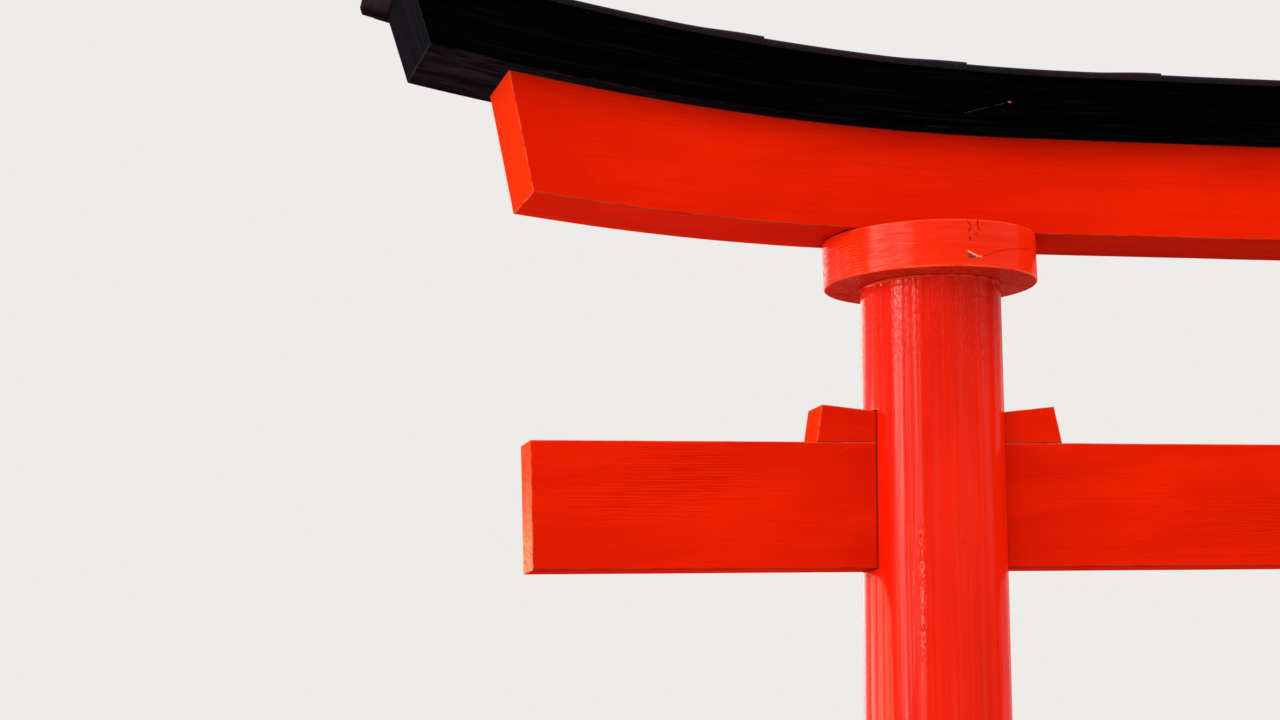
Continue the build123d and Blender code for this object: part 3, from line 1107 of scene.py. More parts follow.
@dataclass(frozen=True)
class Post:
    """Leaning round post with a slot right through it for the tie beam and its wedges."""

    side: Side
    finish: GlossPaint
    grooves: tuple[Groove, ...]
    rough_patch: RoughPatch
    seed: int
    rows: int = 190
    columns: tuple[int, int, int, int] = (12, 92, 12, 70)
    mean_radius: float = 0.105
    slot_half: float = 0.0332
    slot_low: float = 1.8995
    slot_high: float = 2.1273
    pocket_lines: tuple[float, ...] = (0.0, 0.0012, 0.004, 0.012)
    pocket_end: float = 0.088
    # painted shade inside the slot's mouth, from its edge inwards
    pocket_shade: tuple[float, ...] = (0.6, 0.9, 1.0, 1.0, 1.0)
    lip: float = 0.0005
    lip_reach: float = 0.0022
    bead: float = 0.0010
    bead_low: float = 0.0024
    foot_round: float = 0.002
    tenon_radius: float = 0.0548
    tenon_top: float = 2.438
    groove_follow: Ramp = Ramp(math.radians(12.6), math.radians(-9.0))
    splashed: Ramp = Ramp(0.36, -0.06, 0.55)
    rough_neck: Ramp = Ramp(2.15, 0.06, 0.55)
    # painted shade on the neck under the ring, on the side towards the other post
    shaded_neck: Ramp = Ramp(2.16, 0.10, 0.28)
    shaded_side: Ramp = Ramp(105.0, -55.0)
    slot_grime: float = 0.8
    head_grime: float = 0.3
    crack_grime: float = 0.12

    def _fractions(self, count: int, span: float, spots: list[float]) -> Array:
        """Shares of a sector's arc where its columns stand.

        Args:
            count: Even steps.
            span: Length of the arc.
            spots: Shares round which columns stand close together.

        Returns:
            The shares, from 0 up to but without 1.
        """
        close, tight = SLOT_LINES / span, both_ways(CRACK_LINES) / span
        wanted = np.concatenate([close, 1.0 - close, *[spot + tight for spot in spots]])
        even = np.linspace(0.0, 1.0, count + 1)[1:-1]
        return np.sort(np.concatenate([[0.0], apart(even, wanted, COLUMN_CLEAR / span), wanted]))

    def _rows(self) -> Array:
        """Sets out the rows.

        Returns:
            Their heights, closer together at the slot, the foot and the head.
        """
        close = both_ways(SLOT_LINES)
        wanted = np.concatenate([self.slot_low + close, self.slot_high + close])
        even = np.linspace(0.0, GATE.post_height, self.rows)[1:-1]
        ends = np.concatenate([FOOT_LINES, GATE.post_height - HEAD_LINES])
        return np.sort(np.concatenate([apart(even, wanted, ROW_CLEAR), wanted, ends]))

    def _angles(self, z: Array) -> tuple[Array, Array]:
        """Angles of the columns in each row, and which columns start a quad over the slot.

        The slot's edges stay at a fixed distance from the post's middle plane, so their angle is
        the arc sine of that distance over the radius, and the columns between follow.

        Args:
            z: Heights of the rows.

        Returns:
            Angles, rows by columns, and the mask of the columns.
        """
        edge = np.arcsin(self.slot_half / GATE.radius_at(z))[:, None]
        bounds = [-math.pi - edge, -math.pi + edge, -edge, edge, math.pi - edge]
        columns, over_slot = [], []
        for place, (low, high, count) in enumerate(zip(bounds, bounds[1:], self.columns)):
            span = float((high - low).mean())
            spots = [(math.radians(groove.angle) - float(low.mean())) / span for groove in self.grooves]
            inside = [spot for spot in spots if 0.04 < spot < 0.96]
            share = self._fractions(count, span * self.mean_radius, inside)
            columns.append(low + share[None, :] * (high - low))
            over_slot.append(np.full(len(share), place % 2 == 0))
        angles = np.concatenate(columns, axis=1)
        for groove in self.grooves:
            upright = math.radians(groove.angle)
            follow = self.groove_follow.at(np.abs(angles - upright))
            angles = angles + follow * (groove.centre(z)[:, None] - upright)
        return angles, np.concatenate(over_slot)

    def _to_slot(self, y: Array, z: Array) -> Array:
        """Distance of places from the slot's outline, 0 within it."""
        above = np.maximum.reduce([self.slot_low - z, z - self.slot_high, np.zeros(z.shape)])
        return np.hypot(np.maximum(np.abs(y) - self.slot_half, 0.0), above)

    def _skin(self, angles: Array, z: Array) -> Array:
        """Radius of the worked surface: taper, plane marks down the post, cracks and the slot's lip.

        Args:
            angles: Angles round the axis.
            z: Heights, of the same shape.

        Returns:
            The radius at each point.
        """
        radius = GATE.radius_at(z)
        phases = np.random.default_rng(self.seed).uniform(0.0, math.tau, (len(PLANE_TURNS), 3))
        for turn, height, phase in zip(PLANE_TURNS, PLANE_HEIGHTS, phases):
            drift = 0.9 * np.sin(z * 1.7 + phase[1]) + 0.5 * np.sin(z * 5.3 + phase[2])
            radius = radius + height * np.sin(turn * angles + phase[0] + drift)
        cracks = sum(groove.cut(angles, z, radius) for groove in self.grooves)
        lip = self.lip * near(self._to_slot(radius * np.sin(angles), z), self.lip_reach) ** 2
        lumps = 0.6 + 0.25 * np.sin(angles * 41.0 + self.seed) + 0.15 * np.sin(angles * 97.0)
        bead = self.bead * lumps * np.sqrt(near(z - GATE.post_height + self.bead_low, self.bead_low))
        foot = self.foot_round * near(z, self.foot_round) ** 2
        return radius - cracks - lip - foot + bead

    def _marks(self, points: Array, angles: Array) -> Marks:
        """Marks of the side: grime at the joints, painted shade on the neck under the ring, thin paint
        under the ring, cracks and rough paint.

        Args:
            points: Points of the side.
            angles: Their angles round the axis.

        Returns:
            The marks by name.
        """
        _, y, z = np.moveaxis(points, -1, 0)
        turn = np.degrees(angles)
        cracks = sum(groove.cut(angles, z, GATE.radius_at(z)) / groove.depth for groove in self.grooves)
        grime = np.maximum.reduce([
            near(self._to_slot(y, z), JOINT_GRIME) * self.slot_grime,
            near(z - GATE.post_height, 0.0009) * self.head_grime,
            bounded(cracks) ** 2 * self.crack_grime,
            self.splashed.at(z),
            # painted shade on the neck under the ring, towards the other post
            self.shaded_neck.at(z) * self.shaded_side.at(np.abs(turn)),
        ])
        pits = np.maximum(self.rough_patch.share(turn, z), self.rough_neck.at(z))
        return {"grime": grime, "pits": pits, "arris": near(z - GATE.post_height + self.bead_low, 0.0018)}

    def build(self) -> None:
        """Makes the post: its foot, its side with two pockets, its head and its tenon."""
        plan = MeshPlan()
        z = self._rows()
        angles, over_slot = self._angles(z)
        heights = np.broadcast_to(z[:, None], angles.shape)
        side = turned(GATE.axis_at(heights), self._skin(angles, heights), angles, heights)
        head = GATE.axis_at(GATE.post_height)
        foot = turned(0.0, 0.0, angles[:1], 0.0)
        tenon_ends = ((self.tenon_radius, GATE.post_height), (self.tenon_radius, self.tenon_top),
                      (0.0, self.tenon_top))
        tenon = [turned(head, reach, angles[-1:], level) for reach, level in tenon_ends]
        surface = np.concatenate([foot, side, *tenon])
        marks = {name: np.pad(value, ((1, 3), (0, 0))) for name, value in self._marks(side, angles).items()}
        within = (z >= self.slot_low - AT_EDGE) & (z < self.slot_high - AT_EDGE)
        keep = np.ones((len(z) + 3, len(over_slot)), bool)
        keep[1:-2] = ~(within[:, None] & over_slot[None, :])
        shift = timber_shift(self.seed)
        grain = self._grain(surface) + shift
        plan.grid(on_side(surface, self.side), grain, wrap_columns=True, keep=keep, **marks)
        first, last = np.flatnonzero(within)[[0, -1]]
        beside = side[first:last + 2]
        outer = np.flatnonzero(~over_slot)[0]
        inner = np.flatnonzero(over_slot[outer:])[[0, -1]] + outer
        self._pocket(plan, beside[:, :outer + 1], 1.0, shift)
        self._pocket(plan, beside[:, inner[0]:inner[1] + 2], -1.0, shift)
        plan.build(f"post_{self.side.value}_timber", self.finish.material(), "vermilion_timber",
                   [f"post_{self.side.value}"])

    def _grain(self, surface: Array) -> Array:
        """Place in the timber: up the post first, then across from its leaning axis."""
        x, y, z = np.moveaxis(surface, -1, 0)
        return np.stack([z, x - GATE.axis_at(z), y], axis=-1)

    def _pocket(self, plan: MeshPlan, patch: Array, inward: float, shift: Array) -> None:
        """Adds the walls of one mouth of the slot: its outline carried inwards, then closed, with painted
        shade growing into it.

        Args:
            plan: The mesh being made.
            patch: Points of the side that the mouth takes the place of.
            inward: Direction along X into the post.
            shift: Offset of the timber's grain.
        """
        outline = np.concatenate([patch[0, :-1], patch[:-1, -1], patch[-1, :0:-1], patch[:0:-1, 0]])
        walls = outline[None] + np.array(self.pocket_lines)[:, None, None] * np.array([inward, 0.0, 0.0])
        walls[-1, :, 0] = GATE.axis_at(outline[:, 2]) - inward * self.pocket_end
        middle = np.broadcast_to(walls[-1].mean(axis=0), walls[-1].shape)
        surface = np.concatenate([walls, middle[None]])
        # painted shade deepening into the slot
        grime = np.array(self.pocket_shade)[:, None]
        plan.grid(on_side(surface, self.side), self._grain(surface) + shift, wrap_columns=True, grime=grime)


def unrolled(turn: Array, z: Array) -> Array:
    """Places on a ring's side laid flat: along it, and up."""
    return np.stack([turn * GATE.ring_radius, z], axis=-1)


def flat_corners(corners: tuple[tuple[float, float], ...]) -> Array:
    """Corners in degrees and metres, laid flat in the same way."""
    degrees, heights = np.array(corners).T
    return unrolled(np.radians(degrees), heights)


@dataclass(frozen=True)
class Crack:
    """A crack in a ring, from point to point: angles in degrees, heights in metres.

    A negative depth stands out as torn fibres, and dark says how much of it is filled with grime.
    """

    path: tuple[tuple[float, float], ...]
    width: float
    depth: float
    dark: float = 1.0

    def share(self, turn: Array, z: Array) -> Array:
        """Measures how far into the crack places are.

        Args:
            turn: Angles round the axis.
            z: Heights.

        Returns:
            A bell over the distance to its nearest stretch, 1 in the middle.
        """
        points, here = flat_corners(self.path), unrolled(turn, z)
        nearest = np.full(turn.shape, 1.0)
        for start, stop in zip(points[:-1], points[1:]):
            run = stop - start
            along = bounded(((here - start) @ run) / (run @ run))
            nearest = np.minimum(nearest, np.linalg.norm(here - start - along[..., None] * run, axis=-1))
        return np.exp(-((nearest / self.width) ** 2))


@dataclass(frozen=True)
class Chip:
    """A flake broken out of a ring's side: corners of its outline, angles in degrees, heights in metres."""

    corners: tuple[tuple[float, float], ...]
    depth: float
    soft: float = 0.001

    def share(self, turn: Array, z: Array) -> Array:
        """Measures how far inside the chip places are.

        Args:
            turn: Angles round the axis.
            z: Heights.

        Returns:
            0 outside, rising to 1 a millimetre inside: least distance to its sides, made ragged.
        """
        points, here = flat_corners(self.corners), unrolled(turn, z)
        ragged = 0.0004 * np.sin(here[..., 0] * 1900.0) + 0.0003 * np.sin(here[..., 1] * 2700.0)
        inside = np.full(turn.shape, 1.0)
        for start, stop in zip(points, np.roll(points, -1, axis=0)):
            run = (stop - start) / np.linalg.norm(stop - start)
            inside = np.minimum(inside, (here - start) @ np.array([-run[1], run[0]]) + ragged)
        return bounded(inside / self.soft)


@dataclass(frozen=True)
class Ring:
    """Ring on a post's head, its fibres level, with cracks and a chip in its side."""

    side: Side
    finish: GlossPaint
    cracks: tuple[Crack, ...]
    chips: tuple[Chip, ...]
    dense: tuple[float, float]
    fibres: float
    seed: int
    radius: float = 0.1564
    bore: float = 0.0555
    low: float = 2.316
    high: float = 2.384
    rounding: float = 0.0019
    columns: int = 180
    dense_step: float = 0.0052
    dense_clear: float = 0.01
    sunk: float = 0.0002
    sag: float = 0.00015
    # painted shade: how far the underside is darkened inwards of its rim
    dusty: float = 0.40
    post_grime: float = 0.5

    def _profile(self) -> tuple[Array, Array]:
        """Radius and height round the closed section: underside, side, top and bore.

        Returns:
            Radii and heights of the section's points.
        """
        turn = np.linspace(0.0, math.pi / 2, 6)
        edge = self.radius - self.rounding
        under = np.linspace(self.bore, edge - 0.002, 16)
        side = np.linspace(self.low + self.rounding, self.high - self.rounding, 68)[1:-1]
        over = np.linspace(edge - 0.002, self.bore, 12)
        radii = [under, edge + self.rounding * np.sin(turn), np.full(len(side), self.radius),
                 edge + self.rounding * np.cos(turn), over, [self.bore]]
        heights = [np.full(len(under), self.low), self.low + self.rounding * (1 - np.cos(turn)), side,
                   self.high - self.rounding * (1 - np.sin(turn)), np.full(len(over), self.high),
                   [(self.low + self.high) / 2]]
        return np.concatenate(radii), np.concatenate(heights)

    def _columns(self) -> Array:
        """Sets out the columns.

        Returns:
            Their angles, closer over the damage.
        """
        even = np.linspace(-math.pi, math.pi, self.columns + 1)[:-1]
        low, high = np.radians(self.dense)
        free = (even < low - self.dense_clear) | (even > high + self.dense_clear)
        return np.sort(np.concatenate([even[free], np.arange(low, high, self.dense_step)]))

    def _damage(self, turn: Array, z: Array) -> tuple[Array, Marks]:
        """Cracks and chips of the side.

        Args:
            turn: Angles round the axis.
            z: Heights.

        Returns:
            How deep they are, and the marks that they leave.
        """
        cracks = [(crack, crack.share(turn, z)) for crack in self.cracks]
        chips = [(chip, chip.share(turn, z)) for chip in self.chips]
        depth = sum(flaw.depth * share for flaw, share in cracks + chips)
        torn = sum(share * (1.0 - crack.dark) for crack, share in cracks if crack.depth < 0.0)
        return depth, {
            "grime": bounded(1.5 * sum(share * crack.dark for crack, share in cracks)),
            "splinter": bounded(1.4 * torn) ** 1.5,
            "bare": bounded(sum(share for _, share in chips)),
        }

    def build(self) -> None:
        """Makes the ring: its section carried round, with the damage cut into its side."""
        section_r, section_z = self._profile()
        turn, radius = np.meshgrid(self._columns(), section_r)
        z = np.broadcast_to(section_z[:, None], turn.shape)
        outside = Ramp(self.radius - 0.004, 0.003).at(radius)
        under = z < self.low + 1e-4
        depth, marks = self._damage(turn, z)
        waves = 0.00012 * np.sin(7 * turn + self.seed) + 0.00008 * np.sin(17 * turn + z * 60.0)
        brushed = 0.00006 * np.sin(z * 1450.0 + 3.0 * np.sin(turn * 2.0))
        waves = waves + brushed * (0.5 + 0.5 * np.sin(turn * 9.0 + z * 75.0))
        reach = radius + (waves - self.sunk - depth) * outside
        sag = self.sag * np.sin(radius * 130.0 + 2.0 * turn) * (1 - outside) * under
        axis = GATE.axis_at(GATE.post_height)
        surface = turned(axis, reach, turn, z + sag)
        lay = math.radians(self.fibres)
        x, y = surface[..., 0] - axis, surface[..., 1]
        grain = [x * math.cos(lay) + y * math.sin(lay), y * math.cos(lay) - x * math.sin(lay), z]
        touch = near(radius - GATE.radius_at(GATE.post_height) - 0.001, 0.003) * self.post_grime
        # painted shade over the underside inwards of the rim, with grime where it meets the post
        below = under * np.maximum(touch, self.dusty * (1.0 - outside))
        marks = {name: mark * outside for name, mark in marks.items()}
        marks["grime"] = np.maximum(marks["grime"], below)
        marks["under"] = under * 1.0
        to_edge = np.minimum(np.abs(z - self.low), np.abs(z - self.high))
        marks["arris"] = near(to_edge - 0.0006, 0.0016) * outside
        plan = MeshPlan()
        plan.grid(on_side(surface, self.side), np.stack(grain, axis=-1) + timber_shift(self.seed),
                  wrap_rows=True, wrap_columns=True, **marks)
        plan.build(f"ring_{self.side.value}_timber", self.finish.material(), "vermilion_timber",
                   [f"post_ring_{self.side.value}"])


@dataclass(frozen=True)
class FootBand:
    """Metal band round the foot of a post: rolled top edge, lapped seam at the back, nails."""

    side: Side
    finish: BandLacquer
    seed: int
    height: float = 0.300
    wall: float = 0.0030
    gap: float = 0.0003
    bead: float = 0.0019
    bead_out: float = 0.0006
    columns: int = 144
    seam: float = 100.0
    seam_half: float = 0.004
    seam_clear: float = 0.01
    step: float = 0.00054
    step_fades: float = 0.5
    sunk: float = 0.0004
    dusty: Ramp = Ramp(0.11, -0.11)
    dust_power: float = 1.3
    edge_worn: float = 0.6
    nails: tuple[float, ...] = (0.03, 0.09, 0.15, 0.21, 0.265)
    nail_turn: float = 0.09
    nail_radius: float = 0.0042
    nail_rise: float = 0.0014
    nail_out: float = 0.0003

    def _profile(self) -> tuple[Array, Array]:
        """Distance out from the post and height round the closed section: outside, rolled edge, inside.

        Returns:
            Distances and heights of the section's points.
        """
        face = self.gap + self.wall
        turn = np.linspace(-math.pi / 2, math.pi, 10)
        low = np.concatenate([[0.0, 0.001], np.linspace(0.006, self.height - 3 * self.bead, 24)])
        inside = np.linspace(self.height - 0.004, 0.0, 8)
        rolled = face - self.bead + self.bead_out + self.bead * np.cos(turn)
        out = [np.full(len(low), face), rolled, np.full(len(inside), self.gap)]
        heights = [low, self.height - self.bead + self.bead * np.sin(turn), inside]
        return np.concatenate(out), np.concatenate(heights)

    def build(self) -> None:
        """Makes the band: its closed section carried round the leaning post, then its nails."""
        section_out, section_z = self._profile()
        seam = math.radians(self.seam)
        even = np.linspace(-math.pi, math.pi, self.columns + 1)[:-1]
        lap = seam + both_ways(np.array([self.seam_half]))
        angles = np.sort(np.concatenate([even[np.abs(even - seam) > self.seam_clear], lap]))
        turn, out = np.meshgrid(angles, section_out)
        z = np.broadcast_to(section_z[:, None], turn.shape)
        outer = out > self.gap + AT_EDGE
        lapped = self.step * np.exp(-np.mod(turn - seam, math.tau) / self.step_fades)
        dents = 0.0003 * np.sin(5 * turn + z * 23.0) + 0.0002 * np.sin(11 * turn - z * 61.0)
        reach = GATE.radius_at(z) + out + (dents - self.sunk + lapped) * outer
        surface = turned(GATE.axis_at(z), reach, turn, z)
        marks = {"grime": self.dusty.at(z) ** self.dust_power,
                 "arris": near(z - self.height + self.bead, 2 * self.bead) * self.edge_worn}
        plan = MeshPlan()
        plan.grid(on_side(surface, self.side), surface + self.seed, wrap_rows=True, wrap_columns=True,
                  **marks)
        for height in self.nails:
            self._nail(plan, seam + self.nail_turn, height)
        plan.build(f"band_{self.side.value}_metal", self.finish.material(), "black_band",
                   [f"foot_band_{self.side.value}"])

    def _nail(self, plan: MeshPlan, angle: float, height: float) -> None:
        """Adds a domed nail head: a flat-bottomed cap of a sphere, facing out from the post.

        Args:
            plan: The mesh being made.
            angle: Its place round the post.
            height: Its place up the post.
        """
        share = np.array([0.0, 0.35, 0.7, 0.92, 1.0, 1.0, 0.0])[:, None]
        rise = np.array([1.0, 0.93, 0.66, 0.33, 0.1, -0.5, -0.5])[:, None] * self.nail_rise
        turn = np.linspace(0.0, math.tau, 17)[None, :-1]
        out = np.array([math.cos(angle), math.sin(angle), 0.0])
        aside = np.array([-math.sin(angle), math.cos(angle), 0.0])
        radius = GATE.radius_at(height) + self.gap + self.wall + self.nail_out
        centre = out * radius + np.array([GATE.axis_at(height), 0.0, height])
        across, up = (self.nail_radius * share * wave(turn) for wave in (np.cos, np.sin))
        level = np.broadcast_to(rise, across.shape)
        surface = centre + across[..., None] * aside + up[..., None] * np.array([0.0, 0.0, 1.0])
        surface = surface + level[..., None] * out
        worn = level / (2 * self.nail_rise)
        plan.grid(on_side(surface, self.side), surface + self.seed, wrap_columns=True, arris=worn)


@dataclass(frozen=True)
class Wedge:
    """Tapered block driven over the tie beam, on one face of a post."""

    side: Side
    inner: bool
    finish: GlossPaint
    seed: int
    near_end: float = 0.0015
    reach: float = 0.18817
    end_slant: float = 0.010
    height: float = 0.054
    slope: float = 0.109
    counts: tuple[int, int, int] = (40, 12, 14)
    wander: float = 0.00012
    # painted shadow line along the foot of the wedge, where it sits on the beam
    seat_reach: float = 0.0025
    seat_shade: float = 0.8

    def _place(self, unit: Array) -> Array:
        """Along runs from the axis outwards, up to a top that falls evenly towards the axis.

        Args:
            unit: Points of the unit cube.

        Returns:
            Points of the wedge.
        """
        along, up, through = np.moveaxis(unit, -1, 0)
        far = self.reach - self.end_slant * up
        run = self.near_end + along * (far - self.near_end)
        top = self.height - self.slope * (self.reach - self.end_slant - run)
        x = GATE.axis_at(GATE.tie_top) + (run if self.inner else -run)
        points = np.stack([x, (through - 0.5) * GATE.tie_depth, GATE.tie_top + up * top], axis=-1)
        return on_side(points, self.side)

    def _dress(self, unit: Array, surface: Array) -> Marks:
        """Grime where it meets the post, and a painted shadow line where it sits on the beam."""
        # painted shadow line where the wedge sits on the beam
        seat = near(surface[..., 2] - GATE.tie_top, self.seat_reach) * self.seat_shade
        return {"grime": np.maximum(near(off_posts(surface), JOINT_GRIME), seat)}

    def build(self) -> None:
        """Makes the wedge, its grid close where it enters the post."""
        name = f"wedge_{self.side.value}_{'inner' if self.inner else 'outer'}"
        plan = MeshPlan()
        spots = ((GATE.tie_meets(GATE.tie_top) - self.near_end,), (), ())
        size = (self.reach, self.height, GATE.tie_depth)
        plan.board(self._place, size, self.counts, self.seed, self._dress, wander=self.wander, spots=spots)
        plan.build(name + "_timber", self.finish.material(), "vermilion_timber", [name])


@dataclass(frozen=True)
class GrainPatch:
    """A patch of risen grain: its middle along and up the beam, its half sizes and its strength."""

    x: float
    z: float
    reach_x: float
    reach_z: float
    strength: float

    def share(self, x: Array, z: Array) -> Array:
        """Strength at a place: a bell both ways."""
        away = ((x - self.x) / self.reach_x) ** 2 + ((z - self.z) / self.reach_z) ** 2
        return self.strength * np.exp(-away)


@dataclass(frozen=True)
class TieBeam:
    """Board through both posts, its ends sawn square, its grain risen in patches."""

    finish: GlossPaint
    seed: int
    patches: tuple[GrainPatch, ...]
    start: float = -0.5449
    length: float = 3.3000
    counts: tuple[int, int, int] = (155, 172, 14)
    ridge: float = 0.00045
    pitch: float = 0.0042
    second_pitch: float = 0.0059
    second_ridge: float = 0.7
    grain_edge: float = 0.03
    # width of the painted shade line along the front's low edge
    low_edge: float = 0.0028
    pale_least: float = 0.42
    pale_power: float = 1.3

    def _place(self, unit: Array) -> Array:
        """Carries the unit cube to a straight block."""
        size = np.array([self.length, GATE.tie_depth, GATE.tie_top - GATE.tie_bottom])
        return unit[..., [0, 2, 1]] * size + np.array([self.start, -GATE.tie_depth / 2, GATE.tie_bottom])

    def _grain_lines(self, unit: Array, surface: Array) -> tuple[Array, Array, Array]:
        """Lines between the ridges of the grain on the front.

        Two sets of sine lines of different pitch lie along the beam, swayed by slow sines of
        the length, and come and go with a product of sines and with the patches.

        Args:
            unit: Points of the unit cube.
            surface: Points of the beam.

        Returns:
            The phases of the two sets and the strength, 0 to 1, at each point.
        """
        x, _, z = np.moveaxis(surface, -1, 0)
        sway = 1.7 * np.sin(9.1 * x + 1.0) + 0.9 * np.sin(33.0 * x + 55.0 * z)
        sway = sway + 0.4 * np.sin(91.0 * x - 40.0 * z)
        broken = 0.70 + 0.30 * np.sin(38.0 * x + 170.0 * z) * np.sin(61.0 * x - 230.0 * z + 1.0)
        share = bounded(sum(patch.share(x, z) for patch in self.patches))
        inside = bounded(np.minimum(unit[..., 1], 1.0 - unit[..., 1]) / self.grain_edge)
        strength = broken * share * inside * (unit[..., 2] < AT_EDGE)
        first = math.tau * z / self.pitch + sway
        return first, math.tau * z / self.second_pitch - 1.3 * sway + 2.0, strength

    def _sunk(self, unit: Array, surface: Array) -> Array:
        """Depth of the lines: the deeper of the two sines, where it is positive."""
        first, second, strength = self._grain_lines(unit, surface)
        return self.ridge * strength * np.maximum.reduce(
            [np.sin(first), self.second_ridge * np.sin(second), np.zeros(first.shape)])

    def _dress(self, unit: Array, surface: Array) -> Marks:
        """Grime at the posts, painted shade along the front's low edge, pale sawn ends towards the
        bottom, and the grain's lines, which the paint darkens with painted shade.

        Args:
            unit: Points of the unit cube.
            surface: Points of the beam.

        Returns:
            The marks by name.
        """
        _, y, z = np.moveaxis(surface, -1, 0)
        end = near(np.minimum(unit[..., 0], 1.0 - unit[..., 0]), 1e-3)
        # painted shade along the front's low edge
        low_edge = near(np.hypot(y + GATE.tie_depth / 2, z - GATE.tie_bottom), self.low_edge)
        pale = self.pale_least + (1.0 - self.pale_least) * (1.0 - unit[..., 1]) ** self.pale_power
        first, second, strength = self._grain_lines(unit, surface)
        return {"grime": np.maximum(near(off_posts(surface), JOINT_GRIME), low_edge), "pale": end * pale,
                "ridged": strength, "phase": first, "second_phase": second}

    def build(self) -> None:
        """Makes the beam, its grid close where it enters the posts."""
        plan = MeshPlan()
        size = (self.length, GATE.tie_top - GATE.tie_bottom, GATE.tie_depth)
        middle_z = (GATE.tie_bottom + GATE.tie_top) / 2
        half = GATE.tie_meets(middle_z)
        joints = [GATE.axis_at(middle_z) + way * half - self.start for way in (-1.0, 1.0)]
        spots = ((*joints, *[self.length - joint for joint in joints]), (), ())
        plan.board(self._place, size, self.counts, self.seed, self._dress, self._sunk, spots=spots)
        plan.build("tie_beam_timber", self.finish.material(), "vermilion_timber", ["tie_beam"])


@dataclass(frozen=True)
class Strut:
    """Short post in the middle, between the tie beam and the lower lintel."""

    finish: GlossPaint
    seed: int
    width: float = 0.110
    depth: float = 0.090
    counts: tuple[int, int, int] = (36, 18, 16)
    end_grime: float = 0.003

    def _place(self, unit: Array) -> Array:
        """Carries the unit cube to a straight block whose fibres run up.

        Args:
            unit: Points of the unit cube.

        Returns:
            Points of the strut.
        """
        size = np.array([self.width, self.depth, UNDERSIDE.level - GATE.tie_top])
        corner = np.array([GATE.middle - self.width / 2, -self.depth / 2, GATE.tie_top])
        return unit[..., [1, 2, 0]] * size + corner

    def _dress(self, unit: Array, surface: Array) -> Marks:
        """Grime at its two ends."""
        end = np.minimum(surface[..., 2] - GATE.tie_top, UNDERSIDE.level - surface[..., 2])
        return {"grime": near(end, self.end_grime), "under": 0.0}

    def build(self) -> None:
        """Makes the strut."""
        plan = MeshPlan()
        size = (UNDERSIDE.level - GATE.tie_top, self.width, self.depth)
        plan.board(self._place, size, self.counts, self.seed, self._dress)
        plan.build("strut_timber", self.finish.material(), "vermilion_timber", ["strut"])


def between(unit: Array, edges: tuple[LongEdge, LongEdge], reach: float, slant: float, depth: float,
            fall: float = 0.0, sunk: float = 0.0) -> Array:
    """Carries the unit cube to a lintel between two long edges.

    Stations along both edges are matched share by share, 2 * along - 1 of each edge's reach, and
    joined straight. The upper edge falls to the back and is cut by the slanted ends.

    Args:
        unit: Points of the unit cube.
        edges: The lower and the upper edge.
        reach: Distance of the ends' lower corners from the middle.
        slant: Outward run of the ends for each unit of height.
        depth: Depth of the lintel.
        fall: Fall of its top for each unit of depth.
        sunk: How far its top lies under the upper edge.

    Returns:
        Points of the lintel.
    """
    low, high = edges
    along, up, through = np.moveaxis(unit, -1, 0)
    drop = -fall * through * depth
    low_x = (2.0 * along - 1.0) * reach
    high_x = (2.0 * along - 1.0) * high.meets(reach, low.height(reach), slant, drop)
    z = low.height(low_x) * (1.0 - up) + (high.height(high_x) + drop - sunk) * up
    x = GATE.middle + low_x + up * (high_x - low_x)
    return np.stack([x, (through - 0.5) * depth, z], axis=-1)


@dataclass(frozen=True)
class LowerLintel:
    """Lower lintel: its underside and its seat are arcs of their own, its ends slant out."""

    finish: GlossPaint
    seed: int
    depth: float = 0.142
    low_reach: float = 1.646
    slant: float = 0.18
    rough_height: float = 0.15
    counts: tuple[int, int, int] = (300, 20, 18)
    edge_reach: float = 0.0024
    # strength of the painted shade along the front's low edge
    edge_shade: float = 0.8
    ring_grime: float = 0.003
    ring_low: float = 0.002
    # painted shade on the underside, growing from near the ends towards the middle
    inwards: Ramp = Ramp(1.42, -0.55)
    under_least: float = 0.25
    # darkness of that painted shade
    under_shade: float = 0.40

    def _place(self, unit: Array) -> Array:
        """Between the underside and the seat."""
        return between(unit, (UNDERSIDE, SEAT), self.low_reach, self.slant, self.depth)

    def _dress(self, unit: Array, surface: Array) -> Marks:
        """Grime along the seat and the rings, painted shade along the front's low edge, and painted
        shade on the underside that grows inwards.

        Args:
            unit: Points of the unit cube.
            surface: Points of the lintel.

        Returns:
            The marks by name.
        """
        x, y, z = np.moveaxis(surface, -1, 0)
        left = np.minimum(x, 2 * GATE.middle - x)
        off_ring = np.hypot(left - GATE.axis_at(GATE.post_height), y) - GATE.ring_radius
        front_edge = np.hypot(y + self.depth / 2, z - UNDERSIDE.height(x - GATE.middle))
        underside = unit[..., 1] < AT_EDGE
        inwards = self.inwards.at(np.abs(x - GATE.middle)) * underside
        grime = np.maximum.reduce([
            near(SEAT.height(x - GATE.middle) - z, self.edge_reach),
            # painted shade along the front's low edge
            near(front_edge, self.edge_reach) * self.edge_shade,
            near(off_ring, self.ring_grime) * (z < UNDERSIDE.level + self.ring_low),
            # painted shade on the underside, growing inwards
            self.under_shade * inwards,
        ])
        # the underside's stains and dulling grow inwards with the painted shade
        return {"grime": grime, "under": self.under_least * underside + (1.0 - self.under_least) * inwards}

    def build(self) -> None:
        """Makes the lintel."""
        plan = MeshPlan()
        size = (2 * self.low_reach, self.rough_height, self.depth)
        plan.board(self._place, size, self.counts, self.seed, self._dress)
        plan.build("lower_lintel_timber", self.finish.material(), "vermilion_timber", ["lower_lintel"])


